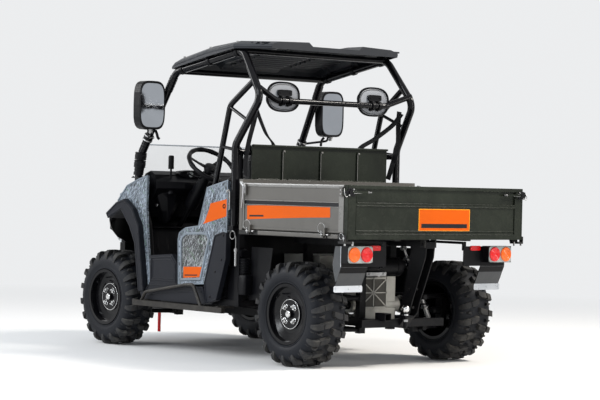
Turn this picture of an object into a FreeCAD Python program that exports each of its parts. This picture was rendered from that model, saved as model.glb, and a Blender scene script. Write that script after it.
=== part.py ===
import FreeCAD, Part

import math
import os

import Sketcher

from FreeCAD import Placement, Rotation, Vector

# Side by side utility vehicle: two seats under a tube cage, a drop-side tipping bed behind.
# +X is forward, +Y is left, +Z is up. The origin is on the ground, in the middle of the length
# and of the width. All lengths are in millimetres.

doc = FreeCAD.newDocument("side_by_side_utv")
sheet = doc.addObject("Spreadsheet::Sheet", "sizes")

# Driving sizes: name, value
SIZES = [
    # Wheels and steering
    ("wheelbase", 2000), ("front_axle_x", 1060), ("tyre_radius", 330), ("bead_radius", 178),
    ("front_tyre_width", 235), ("rear_tyre_width", 270), ("front_wheel_y", 645), ("rear_wheel_y", 625),
    ("front_rim_width", 224), ("rear_rim_width", 244), ("rim_flange", 14), ("rim_wall", 6),
    ("front_dish", 57), ("rear_dish", 43), ("hub_radius", 62), ("hub_depth", 62),
    ("spindle_radius", 20), ("running_gap", 0.05), ("seat_gap", 0.3), ("moving_gap", 5),
    ("kingpin_y", 600), ("kingpin_radius", 12), ("knuckle_half_height", 82), ("eye_height", 24),
    ("knuckle_thick", 46), ("knuckle_width", 60), ("arm_radius", 14), ("eye_radius", 25),
    ("steering_arm_length", 90), ("tie_rod_radius", 9), ("arm_spread", 150),
    # Ladder frame
    ("rail_y", 230), ("rail_width", 50), ("rail_height", 50), ("rail_z", 250),
    ("rail_front_x", 1240), ("rail_rear_x", -1210), ("outrigger", 40), ("sill_tube_y", 650),
    ("sill_tube_front_x", 640), ("sill_tube_rear_x", -330), ("upper_rail_y", 300),
    ("upper_rail_width", 40), ("upper_rail_height", 45), ("upper_rail_rear_x", -1090),
    ("upper_rail_front_x", -480), ("tower_height", 490), ("rear_post_near", 95), ("rear_post_far", 135),
    ("front_post_near", 140), ("front_post_far", 180), ("cross_height", 30), ("arm_bracket_z", 205),
    ("prop_shaft_radius", 18), ("prop_shaft_z", 345), ("rack_x", 940), ("rack_z", 390), ("rack_radius", 18),
    ("rack_bar_radius", 11), ("rack_half", 200), ("rack_bar_half", 262),
    ("pivot_radius", 10), ("bed_pivot_x", -1425), ("bed_pivot_z", 780),
    # Bed
    ("bed_rear_x", -1508), ("bed_front_x", -443), ("bed_half_width", 746.5), ("bed_floor_z", 848),
    ("bed_floor_thick", 13), ("bed_rim_height", 20), ("bed_top_z", 1144), ("board_thick", 30),
    ("board_bottom_z", 853), ("board_groove_z", 1022), ("board_groove_height", 24),
    ("board_groove_depth", 8), ("board_rail_height", 24), ("board_post_width", 46),
    ("tailgate_bottom_z", 815), ("tailgate_axis_z", 822), ("board_axis_z", 838), ("board_axis_out", 10.5),
    ("bed_rail_width", 50), ("bed_rail_height", 30), ("front_flange_height", 23),
    ("hinge_pin_radius", 5), ("hinge_ear", 6),
    # Cage tubes and roof
    ("cage_radius", 25), ("inner_tube_radius", 19), ("brace_radius", 11),
    ("cage_foot_x", 770), ("cage_foot_y", 695), ("cage_foot_z", 1162), ("pillar_bend_x", 750),
    ("pillar_bend_z", 1320), ("roof_bend_x", 425), ("roof_bend_y", 640), ("roof_bend_z", 1885),
    ("hoop_top_x", -293), ("hoop_top_y", 623), ("hoop_top_z", 2010), ("hoop_out_x", -531),
    ("hoop_out_y", 660), ("hoop_out_z", 1700), ("hoop_low_x", -328), ("hoop_low_y", 700),
    ("hoop_low_z", 1390), ("hoop_foot_z", 850), ("foot_stub", 40),
    ("inner_foot_x", -40), ("inner_foot_y", 655), ("inner_bend_x", -210), ("inner_bend_z", 1650),
    ("inner_top_x", -440), ("inner_top_z", 1810), ("headrest_bar_x", -453), ("headrest_bar_z", 1685),
    ("headrest_bar_y", 470), ("roof_rear_x", -490), ("roof_front_x", 452), ("roof_half_width", 682),
    ("roof_skin", 5), ("roof_skirt", 28),
    # Body panels
    ("panel_y", 700), ("panel_thick", 14), ("flare_thick", 34),
    ("floor_z", 380), ("floor_thick", 12), ("seat_base_front_x", 215), ("seat_base_rear_x", -215),
    ("seat_base_top_z", 800), ("seat_base_wall", 8), ("seat_half_width", 560),
    ("cushion_height", 120), ("cab_panel_gap", 0.3), ("cab_panel_thick", 10),
    ("cab_panel_half_width", 585), ("cab_panel_top_z", 1395), ("cab_panel_bottom_z", 850),
    ("hood_rear_x", 790), ("hood_front_x", 1400), ("fascia_front_x", 1455), ("bumper_x", 1505),
    # Running gear
    ("damper_radius", 14), ("damper_eye", 16), ("damper_offset", 46), ("spring_radius", 28), ("engine_half",
        195), ("engine_top_z", 680),
    ("diff_half", 110), ("gearbox_top_z", 560), ("boot_radius", 28),
    # Controls and lamps
    ("wheel_centre_x", 390), ("wheel_centre_y", 350), ("wheel_centre_z", 1260),
    ("steering_ring_radius", 168), ("steering_grip_radius", 14), ("column_angle", 50),
    ("lamp_z", 722), ("lamp_y", 597), ("lamp_radius", 48), ("guard_x", -1402), ("carcass_radius", 306),
    ("mirror_x", 510), ("mirror_y", 796), ("mirror_z", 1655), ("mirror_width", 208),
    ("mirror_height", 330), ("step_z", 315), ("step_y", 765),
]

for row, (name, value) in enumerate(SIZES, start=1):
    sheet.set(f"A{row}", name)
    sheet.set(f"B{row}", str(value))
    sheet.setAlias(f"B{row}", name)
doc.recompute()


class Size:
    """A length worked out from the sheet: its number, and the expression that gives it."""

    def __init__(self, number, text):
        self.number = number
        self.text = text

    def __float__(self):
        return float(self.number)

    def __neg__(self):
        return Size(-self.number, f"(-1 * {self.text})")

    def __add__(self, other):
        other = as_size(other)
        return Size(self.number + other.number, f"({self.text} + {other.text})")

    def __sub__(self, other):
        other = as_size(other)
        return Size(self.number - other.number, f"({self.text} - {other.text})")

    def __mul__(self, other):
        other = as_size(other)
        return Size(self.number * other.number, f"({self.text} * {other.text})")

    def __truediv__(self, other):
        other = as_size(other)
        return Size(self.number / other.number, f"({self.text} / {other.text})")

    def __radd__(self, other):
        return as_size(other) + self

    def __rsub__(self, other):
        return as_size(other) - self

    def __rmul__(self, other):
        return as_size(other) * self


def as_size(value):
    return value if isinstance(value, Size) else Size(float(value), f"{float(value):.6f}")


class Sheet:
    """The sheet's sizes by name."""

    def __getattr__(self, name):
        return Size(float(sheet.get(name)), f"sizes.{name}")


s = Sheet()
nodes = []
count = {"piece": 0}


def new_name(kind):
    count["piece"] += 1
    return f"{kind}_{count['piece']:03d}"


def bind(thing, field, value):
    thing.setExpression(field, as_size(value).text)


def place(thing, at, turn=None):
    """Puts a piece at a point of the sheet's sizes, turned by an axis and an angle."""
    rotation = Rotation(Vector(*turn[0]), turn[1]) if turn else Rotation()
    thing.Placement = Placement(Vector(*[float(c) for c in at]), rotation)
    for letter, value in zip("xyz", at):
        bind(thing, f"Placement.Base.{letter}", value)
    return thing


def box(low, high):
    """A block between two corners."""
    block = doc.addObject("Part::Box", new_name("block"))
    for field, a, b in zip(("Length", "Width", "Height"), low, high):
        bind(block, field, as_size(b) - as_size(a))
    return place(block, low)


AXIS_TURN = {"x": ((0, 1, 0), 90), "y": ((1, 0, 0), -90), "z": None}


def rod(axis, at, radius, length):
    """A round bar along one axis, starting at a point."""
    bar = doc.addObject("Part::Cylinder", new_name("bar"))
    bind(bar, "Radius", radius)
    bind(bar, "Height", length)
    return place(bar, at, AXIS_TURN[axis])


def ball(at, radius):
    sphere = doc.addObject("Part::Sphere", new_name("ball"))
    bind(sphere, "Radius", radius)
    return place(sphere, at)


PLANES = {"side": "XZ_Plane", "front": "YZ_Plane", "top": "XY_Plane"}


def draw(body, plane, points, offset):
    """A closed outline of straight lines, each corner held by its two sizes."""
    sketch = body.newObject("Sketcher::SketchObject", new_name("outline"))
    origin = [f for f in body.Origin.OriginFeatures if f.Role == PLANES[plane]][0]
    sketch.AttachmentSupport = [(origin, "")]
    sketch.MapMode = "FlatFace"
    bind(sketch, "AttachmentOffset.Base.z", offset)
    corners = [Vector(float(a), float(b), 0) for a, b in points]
    for i, corner in enumerate(corners):
        sketch.addGeometry(Part.LineSegment(corner, corners[(i + 1) % len(corners)]))
    for i, (a, b) in enumerate(points):
        following = (i + 1) % len(points)
        sketch.addConstraint(Sketcher.Constraint("Coincident", i, 2, following, 1))
    for i, (a, b) in enumerate(points):
        for kind, value in (("DistanceX", a), ("DistanceY", b)):
            index = sketch.addConstraint(Sketcher.Constraint(kind, -1, 1, i, 1, float(value)))
            if isinstance(value, Size):
                sketch.setExpression(f"Constraints[{index}]", value.text)
    return sketch


def plate(plane, points, low, high):
    """An outline drawn on one plane and padded from low to high along that plane's normal."""
    body = doc.addObject("PartDesign::Body", new_name("body"))
    # The side plane looks along +Y, so its own normal runs the other way.
    start = -as_size(high) if plane == "side" else as_size(low)
    sketch = draw(body, plane, points, start)
    pad = body.newObject("PartDesign::Pad", new_name("pad"))
    pad.Profile = sketch
    bind(pad, "Length", as_size(high) - as_size(low))
    return body


def turned(points, centre_x, centre_z):
    """A profile of (y, radius) corners turned about a line along Y through (x, z)."""
    body = doc.addObject("PartDesign::Body", new_name("body"))
    flat = [(radius, y) for y, radius in points]
    sketch = draw(body, "top", flat, 0)
    revolve = body.newObject("PartDesign::Revolution", new_name("turn"))
    revolve.Profile = sketch
    revolve.ReferenceAxis = (sketch, ["V_Axis"])
    revolve.Angle = 360
    return place(body, (centre_x, 0, centre_z))


def gather(kind, pieces):
    group = doc.addObject(kind, new_name("group"))
    if kind == "Part::Compound":
        group.Links = pieces
    else:
        group.Shapes = pieces
    return group


def fuse(*pieces):
    return gather("Part::MultiFuse", list(pieces))


def together(*pieces):
    return gather("Part::Compound", list(pieces))


def cut(base, tool):
    result = doc.addObject("Part::Cut", new_name("cut"))
    result.Base = base
    result.Tool = tool
    return result


def mirrored(piece):
    """The same piece on the other side of the vehicle."""
    copy = doc.addObject("Part::Mirroring", new_name("mirror"))
    copy.Source = piece
    copy.Normal = Vector(0, 1, 0)
    return copy


def both_sides(piece):
    return together(piece, mirrored(piece))


def solid(shape):
    """A shape made from lines, arcs and sections, kept as a piece of its own."""
    piece = doc.addObject("Part::Feature", new_name("form"))
    piece.Shape = shape
    piece.Placement = Placement()
    return piece


def path(points, bend):
    """Straight runs through the points, joined by tangent arcs of one radius."""
    corners = [Vector(*[float(c) for c in p]) for p in points]
    edges = []
    last = corners[0]
    for before, corner, after in zip(corners, corners[1:], corners[2:]):
        back = (before - corner).normalize()
        ahead = (after - corner).normalize()
        half = (math.pi - back.getAngle(ahead)) / 2
        room = 0.45 * min((before - corner).Length, (after - corner).Length)
        reach = min(float(bend) * math.tan(half), room)
        radius = reach / math.tan(half)
        start = corner + back * reach
        end = corner + ahead * reach
        middle_way = (back + ahead).normalize()
        centre = corner + middle_way * (radius / math.cos(half))
        middle = centre - middle_way * radius
        edges.append(Part.LineSegment(last, start).toShape())
        edges.append(Part.Arc(start, middle, end).toShape())
        last = end
    edges.append(Part.LineSegment(last, corners[-1]).toShape())
    return Part.Wire(edges)


def tube_shape(points, radius, bend=90):
    line = path(points, bend)
    corners = [Vector(*[float(c) for c in p]) for p in points]
    circle = Part.Circle(corners[0], (corners[1] - corners[0]).normalize(), float(radius))
    ring = Part.Wire([circle.toShape()])
    return line.makePipeShell([ring], True, False)


def tube(points, radius, bend=90):
    return solid(tube_shape(points, radius, bend))


def loft(sections):
    """A solid through closed sections of straight lines."""
    wires = [Part.makePolygon([Vector(*p) for p in section + section[:1]]) for section in sections]
    return Part.makeLoft(wires, True, True)


def node(name, piece):
    """Names the piece that becomes one file."""
    piece.Label = name
    nodes.append((name, piece))
    return piece


rear_axle_x = s.front_axle_x - s.wheelbase
hub_z = s.tyre_radius


# Wheels: tyre and dished steel rim

LUGS = 18
LUG_WIDTH = 40
LUG_SKEW = 0.22
SIDES = 2 * LUGS


def wheel_point(x, centre, across, radius, turn, along=0.0):
    """A point of a wheel: out from its axle at an angle from straight down, and along the tread from there."""
    reach = Vector(math.sin(turn), 0, -math.cos(turn))
    onward = Vector(math.cos(turn), 0, math.sin(turn))
    return Vector(x, centre + across, float(hub_z)) + reach * radius + onward * along


def carcass(x, centre, half, rim):
    """The tyre below its lugs, as rings of flat faces from bead to bead."""
    bead = float(s.bead_radius + s.seat_gap)
    flange = bead + float(s.rim_flange)
    crown = float(s.carcass_radius)
    # across, radius
    right = [(rim - 14, bead), (rim - 14, flange), (rim - 2, flange + 8), (half - 6, crown - 68),
             (half - 12, crown - 20), (half - 62, crown - 2), (0, crown)]
    profile = right + [(-a, r) for a, r in reversed(right[:-1])]
    step = 2 * math.pi / SIDES
    outer = 1 / math.cos(step / 2)
    rings = [[wheel_point(x, centre, a, r * outer, (i + 0.5) * step) for i in range(SIDES)] for a,
        r in profile]
    faces = []
    for ring, following in zip(rings, rings[1:] + rings[:1]):
        for i in range(SIDES):
            j = (i + 1) % SIDES
            corners = [ring[i], ring[j], following[j], following[i]]
            faces.append(Part.Face(Part.makePolygon(corners + corners[:1])))
    return Part.Solid(Part.Shell(faces))


def lug(x, centre, half, row, turn):
    """One lug from the tread's middle over the shoulder, with flat faces and a lean across the tread."""
    tip = float(s.tyre_radius)
    # across, radius
    profile = [(6, tip - 2), (half - 46, tip), (half - 20, tip - 8), (half - 1, tip - 36), (half - 1,
        tip - 70),
               (half - 16, tip - 74), (half - 34, tip - 50), (6, tip - 36)]
    corners = [wheel_point(x, centre, row * a, r, turn, LUG_SKEW * (a - half / 2) - LUG_WIDTH / 2)
               for a, r in profile]
    onward = Vector(math.cos(turn), 0, math.sin(turn))
    return Part.Face(Part.makePolygon(corners + corners[:1])).extrude(onward * LUG_WIDTH)


def tyre(x, side, y, width, rim_width):
    """A tyre with two rows of lugs, set half a step apart."""
    x = float(x)
    centre = side * float(y)
    half = float(width) / 2
    body = carcass(x, centre, half, float(rim_width) / 2)
    step = 2 * math.pi / LUGS
    lugs = [lug(x, centre, half, side * row, (i + shift) * step)
            for row, shift in ((1, 0.0), (-1, 0.5)) for i in range(LUGS)]
    return solid(body.fuse(lugs))


def rim(x, side, y, rim_width, dish):
    """The rim's barrel, its flanges, the dished disc and the hub that turns on the spindle."""
    half = rim_width / 2
    seat = s.bead_radius
    wall = s.rim_wall
    flange = s.bead_radius + s.rim_flange
    face = half - dish
    bore = s.spindle_radius + s.running_gap
    profile = [
        (-half, seat - wall), (-half, flange), (-half + s.rim_flange - 2, flange),
        (-half + s.rim_flange - 2, seat), (half - s.rim_flange + 2, seat),
        (half - s.rim_flange + 2, flange), (half, flange), (half, seat - wall),
        (face + 12, seat - wall - 4), (face, 118), (face, 93), (face + 8, 93), (face + 8, 24),
        (face + 22, 24), (face + 22, 0), (face, 0), (face, bore),
        (face - s.hub_depth, bore), (face - s.hub_depth, s.hub_radius), (face - 6, s.hub_radius),
        (face - 6, 118), (face + 4, seat - wall - 6), (face - 16, seat - wall),
    ]
    centre = y if side > 0 else -y
    outward = 1 if side > 0 else -1
    return turned([(centre + outward * as_size(a), r) for a, r in profile], x, hub_z)


WHEELS = [
    # name, axle x, side, wheel y, tyre width, rim width, dish
    ("front_left", s.front_axle_x, 1, s.front_wheel_y, s.front_tyre_width, s.front_rim_width, s.front_dish),
    ("front_right", s.front_axle_x, -1, s.front_wheel_y, s.front_tyre_width, s.front_rim_width, s.front_dish),
    ("rear_left", rear_axle_x, 1, s.rear_wheel_y, s.rear_tyre_width, s.rear_rim_width, s.rear_dish),
    ("rear_right", rear_axle_x, -1, s.rear_wheel_y, s.rear_tyre_width, s.rear_rim_width, s.rear_dish),
]
for name, axle_x, side, wheel_y, tyre_width, rim_width, dish in WHEELS:
    node(f"{name}_tyre", tyre(axle_x, side, wheel_y, tyre_width, rim_width))
    node(f"{name}_rim", rim(axle_x, side, wheel_y, rim_width, dish))


# Knuckles: upright, spindle, kingpin and steering arm

def upright(x, y, low_y):
    """The block that carries a spindle, with a round pin above and below for the arms' eyes."""
    top = hub_z + s.knuckle_half_height
    bottom = hub_z - s.knuckle_half_height
    block = box((x - s.knuckle_width / 2, low_y, bottom), (x + s.knuckle_width / 2, low_y + s.knuckle_thick,
        top))
    pin_y = low_y + s.knuckle_thick / 2
    pin_reach = s.moving_gap + s.eye_height
    upper = rod("z", (x, pin_y, top), s.kingpin_radius, pin_reach)
    lower = rod("z", (x, pin_y, bottom - pin_reach), s.kingpin_radius, pin_reach)
    return block, upper, lower, y


def spindle(x, low_y, wheel_y, rim_width, dish):
    start = low_y + s.knuckle_thick
    end = wheel_y + rim_width / 2 - dish - s.moving_gap
    return rod("y", (x, start, hub_z), s.spindle_radius, end - start)


knuckle_low_y = s.kingpin_y - s.knuckle_thick / 2
front_block = upright(s.front_axle_x, s.kingpin_y, knuckle_low_y)
front_spindle = spindle(s.front_axle_x, knuckle_low_y, s.front_wheel_y, s.front_rim_width, s.front_dish)
arm_x = s.front_axle_x - s.steering_arm_length
steering_arm = box((arm_x - 14, s.kingpin_y - 16, hub_z - 8), (s.front_axle_x - s.knuckle_width / 2,
    s.kingpin_y + 16, hub_z + 8))
left_knuckle = fuse(*front_block[:3], front_spindle, steering_arm)
node("front_left_knuckle", left_knuckle)
node("front_right_knuckle", mirrored(left_knuckle))

rear_low_y = s.kingpin_y - s.knuckle_thick / 2 - 20
rear_block = upright(rear_axle_x, s.kingpin_y, rear_low_y)
rear_spindle = spindle(rear_axle_x, rear_low_y, s.rear_wheel_y, s.rear_rim_width, s.rear_dish)
node("rear_hub_carriers", both_sides(fuse(*rear_block[:3], rear_spindle)))


# Suspension arms, coil-over dampers, drive shafts

arm_inner_y = s.rail_y + s.rail_width / 2 + s.arm_radius + 3 + s.seat_gap
eye_offset = s.knuckle_half_height + s.moving_gap + s.eye_height / 2
front_damper_y = as_size(450)
rear_damper_y = as_size(440)
rear_king_y = rear_low_y + s.knuckle_thick / 2


def wishbone(x, outer_y, z, damper_y=None):
    """Two tubes from a cross tube on the frame to one eye round the kingpin."""
    legs = [tube([(x + side * s.arm_spread, arm_inner_y, z), (x + side * 18, outer_y - 18, z)], s.arm_radius)
            for side in (-1, 1)]
    cross = rod("x", (x - s.arm_spread - 25, arm_inner_y, z), s.arm_radius + 3, 2 * s.arm_spread + 50)
    boss = rod("z", (x, outer_y, z - s.eye_height / 2), s.eye_radius, s.eye_height)
    hole = rod("z", (x, outer_y, z - s.eye_height), s.kingpin_radius + s.running_gap, s.eye_height * 2)
    pieces = legs + [cross, boss]
    if damper_y is not None:
        pieces.append(rod("x", (x - 90, damper_y, z), s.arm_radius, 180))
    return cut(fuse(*pieces), hole)


def arms(x, outer_y, damper_y):
    upper = wishbone(x, outer_y, hub_z + eye_offset)
    lower = wishbone(x, outer_y, hub_z - eye_offset, damper_y)
    return together(upper, lower, mirrored(upper), mirrored(lower))


node("front_suspension_arms", arms(s.front_axle_x, s.kingpin_y, front_damper_y))
node("rear_suspension_arms", arms(rear_axle_x, rear_king_y, rear_damper_y))

damper_low_z = hub_z - eye_offset + s.arm_radius + s.seat_gap + s.damper_eye
front_damper_top = as_size(690)
bed_rail_low = s.bed_floor_z - s.bed_floor_thick - s.bed_rail_height
upper_rail_z = bed_rail_low - s.upper_rail_height - s.seat_gap


COIL_TURNS = 8


def damper(x, y, top_y, top_z):
    """A coil spring round a damper, between an eye on the lower arm and an eye under the frame."""
    low = Vector(float(x), float(y), float(damper_low_z))
    high = Vector(float(x), float(top_y), float(top_z) - float(s.seat_gap + s.damper_eye))
    way = (high - low).normalize()
    out = Vector(1, 0, 0)
    length = (high - low).Length
    thin = float(s.damper_radius)
    wide = float(s.spring_radius)
    # share of the length, radius: rod, seat, coils, seat, rod
    profile = [(0, 0), (0, thin), (0.14, thin), (0.14, wide), (0.165, wide)]
    for i in range(COIL_TURNS):
        middle = 0.21 + 0.58 * i / (COIL_TURNS - 1)
        profile += [(middle - 0.035, wide - 9), (middle - 0.012, wide), (middle + 0.012, wide),
            (middle + 0.035, wide - 9)]
    profile += [(0.835, wide), (0.86, wide), (0.86, thin), (1, thin), (1, 0)]
    corners = [low + way * (length * share) + out * radius for share, radius in profile]
    face = Part.Face(Part.makePolygon(corners + corners[:1]))
    pieces = [face.revolve(low, way, 360)]
    for end in (low, high):
        pieces.append(Part.makeCylinder(float(s.damper_eye), 36, end - out * 18, out))
    return solid(pieces[0].fuse(pieces[1:]))


front_damper = damper(s.front_axle_x + s.damper_offset, front_damper_y, 345, front_damper_top)
rear_damper = damper(rear_axle_x - s.damper_offset, rear_damper_y, 190, upper_rail_z)
node("dampers", together(front_damper, mirrored(front_damper), rear_damper, mirrored(rear_damper)))


def half_shaft(x, inner_y, outer_y):
    """A drive shaft with a boot at each end."""
    shaft = rod("y", (x, inner_y, hub_z), 13, as_size(outer_y) - inner_y)
    boot = rod("y", (x, inner_y, hub_z), s.boot_radius, 50)
    end_boot = rod("y", (x, as_size(outer_y) - 46, hub_z), s.boot_radius, 46)
    return fuse(shaft, boot, end_boot)


gearbox_front_x = rear_axle_x + s.rear_post_near
gearbox_rear_x = rear_axle_x - 45
diff_rear_x = s.front_axle_x - 95
front_shaft = half_shaft(s.front_axle_x, s.diff_half + s.seat_gap, knuckle_low_y - 22)
rear_end_y = rear_low_y - s.seat_gap
OUTPUT_Z = 378
# side, y of the gearbox's flange
OUTPUTS = [(1, 235), (-1, 165)]


def sloped_shaft(side, flange_y):
    """A rear drive shaft, down from the gearbox's flange to the hub, with a boot at each end."""
    start = flange_y + float(s.seat_gap)
    end = float(rear_end_y)
    x = float(rear_axle_x)
    hub = float(hub_z)
    across = Vector(0, side, 0)
    radius = float(s.boot_radius)
    inner = Part.makeCylinder(radius, 36, Vector(x, side * start, OUTPUT_Z), across)
    outer = Part.makeCylinder(radius, 40, Vector(x, side * (end - 40), hub), across)
    low = Vector(x, side * (end - 40), hub)
    high = Vector(x, side * (start + 36), OUTPUT_Z)
    way = (low - high).normalize()
    pieces = [outer, Part.makeSphere(radius, low), Part.makeSphere(radius, high),
              Part.makeCylinder(13, (low - high).Length, high, way)]
    return solid(inner.fuse(pieces))


rear_shafts = [sloped_shaft(side, flange_y) for side, flange_y in OUTPUTS]
prop_length = diff_rear_x - gearbox_front_x - 2 * s.seat_gap
prop_shaft = rod("x", (gearbox_front_x + s.seat_gap, 0, s.prop_shaft_z), s.prop_shaft_radius, prop_length)
node("drive_shafts", together(front_shaft, mirrored(front_shaft), *rear_shafts, prop_shaft))


# Chassis frame

rail_top = s.rail_z + s.rail_height
rail_in = s.rail_y - s.rail_width / 2
rail_out = s.rail_y + s.rail_width / 2
upper_in = s.upper_rail_y - s.upper_rail_width / 2
upper_out = s.upper_rail_y + s.upper_rail_width / 2
upper_top = upper_rail_z + s.upper_rail_height
sill_low = s.floor_z - s.outrigger
sill_in = s.sill_tube_y - s.outrigger / 2
sill_out = s.sill_tube_y + s.outrigger / 2
tower_top = rail_top + s.tower_height


REAR_TUBE = 44
link_low = upper_rail_z
link_top = upper_rail_z + 30


def rail_side():
    """One long rail with the posts that carry the arms below, and the dampers or the bed above."""
    pieces = [box((s.rail_rear_x + REAR_TUBE, rail_in, s.rail_z), (s.rail_front_x, rail_out, rail_top))]
    for axle_x, near, far, top in ((s.front_axle_x, s.front_post_near, s.front_post_far, tower_top),
                                   (rear_axle_x, s.rear_post_near, s.rear_post_far, link_low)):
        for low, high in ((-far, -near), (near, far)):
            pieces.append(box((axle_x + low, rail_in, s.arm_bracket_z), (axle_x + high, rail_out, top)))
    engine_post_x = s.upper_rail_front_x - 60
    pieces.append(box((engine_post_x, rail_in, rail_top - 5), (engine_post_x + 40, rail_out, link_low)))
    # Upper damper mount of the front tower, and the strut to the nose
    pieces.append(box((s.front_axle_x - s.front_post_far, rail_in, front_damper_top),
                      (s.front_axle_x + s.front_post_far, 370, front_damper_top + 30)))
    pieces.append(box((s.front_axle_x + s.front_post_near, rail_in, 760),
                      (s.hood_front_x - 60 - s.seat_gap, rail_out, 790)))
    return fuse(*pieces)


node("frame_rails", both_sides(rail_side()))


def upper_frame():
    """The two upper rails with links to the posts, three cross beams, and arms back to the rear guards."""
    sides = [box((s.upper_rail_rear_x, upper_in, upper_rail_z), (s.upper_rail_front_x, upper_out, upper_top))]
    for x in (rear_axle_x - s.rear_post_far, rear_axle_x + s.rear_post_near, s.upper_rail_front_x - 60):
        sides.append(box((x, rail_in, link_low), (x + 40, upper_in + 5, link_top)))
    arm_low = upper_top - 22
    arm_top = upper_top - 6
    guard_front = s.guard_x + 6 + s.seat_gap
    sides.append(box((s.upper_rail_rear_x + 5, upper_out - 2, arm_low), (s.upper_rail_rear_x + 35,
        upper_out + 38, arm_top)))
    sides.append(box((guard_front, upper_out + 10, arm_low), (s.upper_rail_rear_x + 6, upper_out + 38,
        arm_top)))
    sides.append(box((guard_front, upper_out + 10, arm_low - 40), (guard_front + 10, upper_out + 38,
        arm_top)))
    left = fuse(*sides)
    # x, length of each beam
    beams = [(s.upper_rail_rear_x, 40), (rear_axle_x - s.damper_offset - 27, 60),
        (s.upper_rail_front_x - 40, 40)]
    crosses = [box((x, -s.upper_rail_y, upper_rail_z), (x + length, s.upper_rail_y, upper_rail_z + 40))
               for x, length in beams]
    return fuse(left, mirrored(left), *crosses)


node("upper_frame", upper_frame())


def side_frame():
    """The sill tube on its outriggers, the post under the cage's hoop and the cowl tube under its pillar."""
    pieces = [
        box((s.sill_tube_rear_x, sill_in, sill_low), (s.sill_tube_front_x, sill_out, s.floor_z)),
        box((s.hoop_low_x - 25, sill_in, sill_low), (s.hoop_low_x + 25, sill_out, s.hoop_foot_z - 12)),
        box((s.hoop_low_x - 30, sill_in, s.hoop_foot_z - 12),
            (s.hoop_low_x + 30, s.hoop_low_y + 30, s.hoop_foot_z)),
    ]
    cowl_y = s.panel_y - s.seat_gap - 20
    pieces.append(tube([(s.sill_tube_front_x - 20, s.sill_tube_y, s.floor_z - 20), (690, s.sill_tube_y, 850),
                        (s.cage_foot_x, cowl_y, s.cage_foot_z - 40)], 20))
    pieces.append(box((s.cage_foot_x - 34, s.cage_foot_y - 34, s.cage_foot_z - 44),
                      (s.cage_foot_x + 34, s.panel_y - s.seat_gap, s.cage_foot_z)))
    for x in (as_size(600), as_size(150), s.sill_tube_rear_x):
        pieces.append(box((x, rail_in, sill_low), (x + s.outrigger, sill_in + 5, s.floor_z)))
        pieces.append(box((x, rail_in, rail_top), (x + s.outrigger, rail_out, sill_low + 5)))
    return fuse(*pieces)


side_frames = node("side_frames", both_sides(side_frame()))


def crossmembers():
    """The short members between the rails, the rear cross tube and the tube behind the dashboard."""
    pieces = []
    # Under the gearboxes, the rack and the engine
    for x in (gearbox_front_x, gearbox_rear_x - 40, s.front_axle_x + s.front_post_near, as_size(100)):
        pieces.append(box((x, -rail_in, s.rail_z), (x + 40, rail_in, s.rail_z + s.cross_height)))
    rack_x = s.front_axle_x - s.front_post_far
    rack_member = [box((rack_x, -rail_in, s.rail_z), (rack_x + 40, rail_in, s.rail_z + s.cross_height))]
    for y in (-150, 120):
        rack_member.append(box((s.rack_x - 55, y, s.rail_z + 10),
                               (s.rack_x + 12, as_size(y) + 30, s.rack_z - s.rack_radius - s.seat_gap)))
    pieces.append(fuse(*rack_member))
    engine_member = [box((-450, -rail_in, s.rail_z), (-410, rail_in, s.rail_z + s.cross_height))]
    for y in (-185, 125):
        engine_member.append(box((-450, y, s.rail_z), (-410, as_size(y) + 60, s.floor_z)))
    pieces.append(fuse(*engine_member))
    receiver = cut(box((s.rail_rear_x - 50, 150, rail_top - 8), (s.rail_rear_x + REAR_TUBE, 204,
        rail_top + 42)),
                   box((s.rail_rear_x - 51, 156, rail_top - 2), (s.rail_rear_x + 30, 198, rail_top + 36)))
    pieces.append(fuse(box((s.rail_rear_x, -350, s.rail_z), (s.rail_rear_x + REAR_TUBE, 350, rail_top)),
        receiver))
    pieces.append(box((s.rail_front_x - 40, -rail_in, s.rail_z), (s.rail_front_x, rail_in, rail_top)))
    cowl_tube = rod("y", (s.cage_foot_x - 50, 20 - s.panel_y, 1060), 16, 2 * s.panel_y - 40)
    pieces.append(cut(cowl_tube, side_frames))
    return together(*pieces)


node("frame_crossmembers", crossmembers())


# Bed: floor and subframe, front wall, side boards, tailgate

floor_rear = s.bed_rear_x + s.board_thick + 8
floor_bottom = s.bed_floor_z - s.bed_floor_thick
rim_bottom = floor_bottom - s.bed_rim_height
board_rear = s.bed_rear_x + s.board_thick + s.moving_gap
board_front = s.bed_front_x - s.board_thick - s.moving_gap
board_in = s.bed_half_width - s.board_thick
tailgate_axis_x = s.bed_rear_x + s.board_thick / 2
board_axis_y = s.bed_half_width + s.board_axis_out
floor_edge_z = s.bed_floor_z - s.moving_gap
HINGE_X = (-1310, -570)
LUG_RADIUS = 8
LUG_HALF = 8
EAR_GAP = 1


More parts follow.
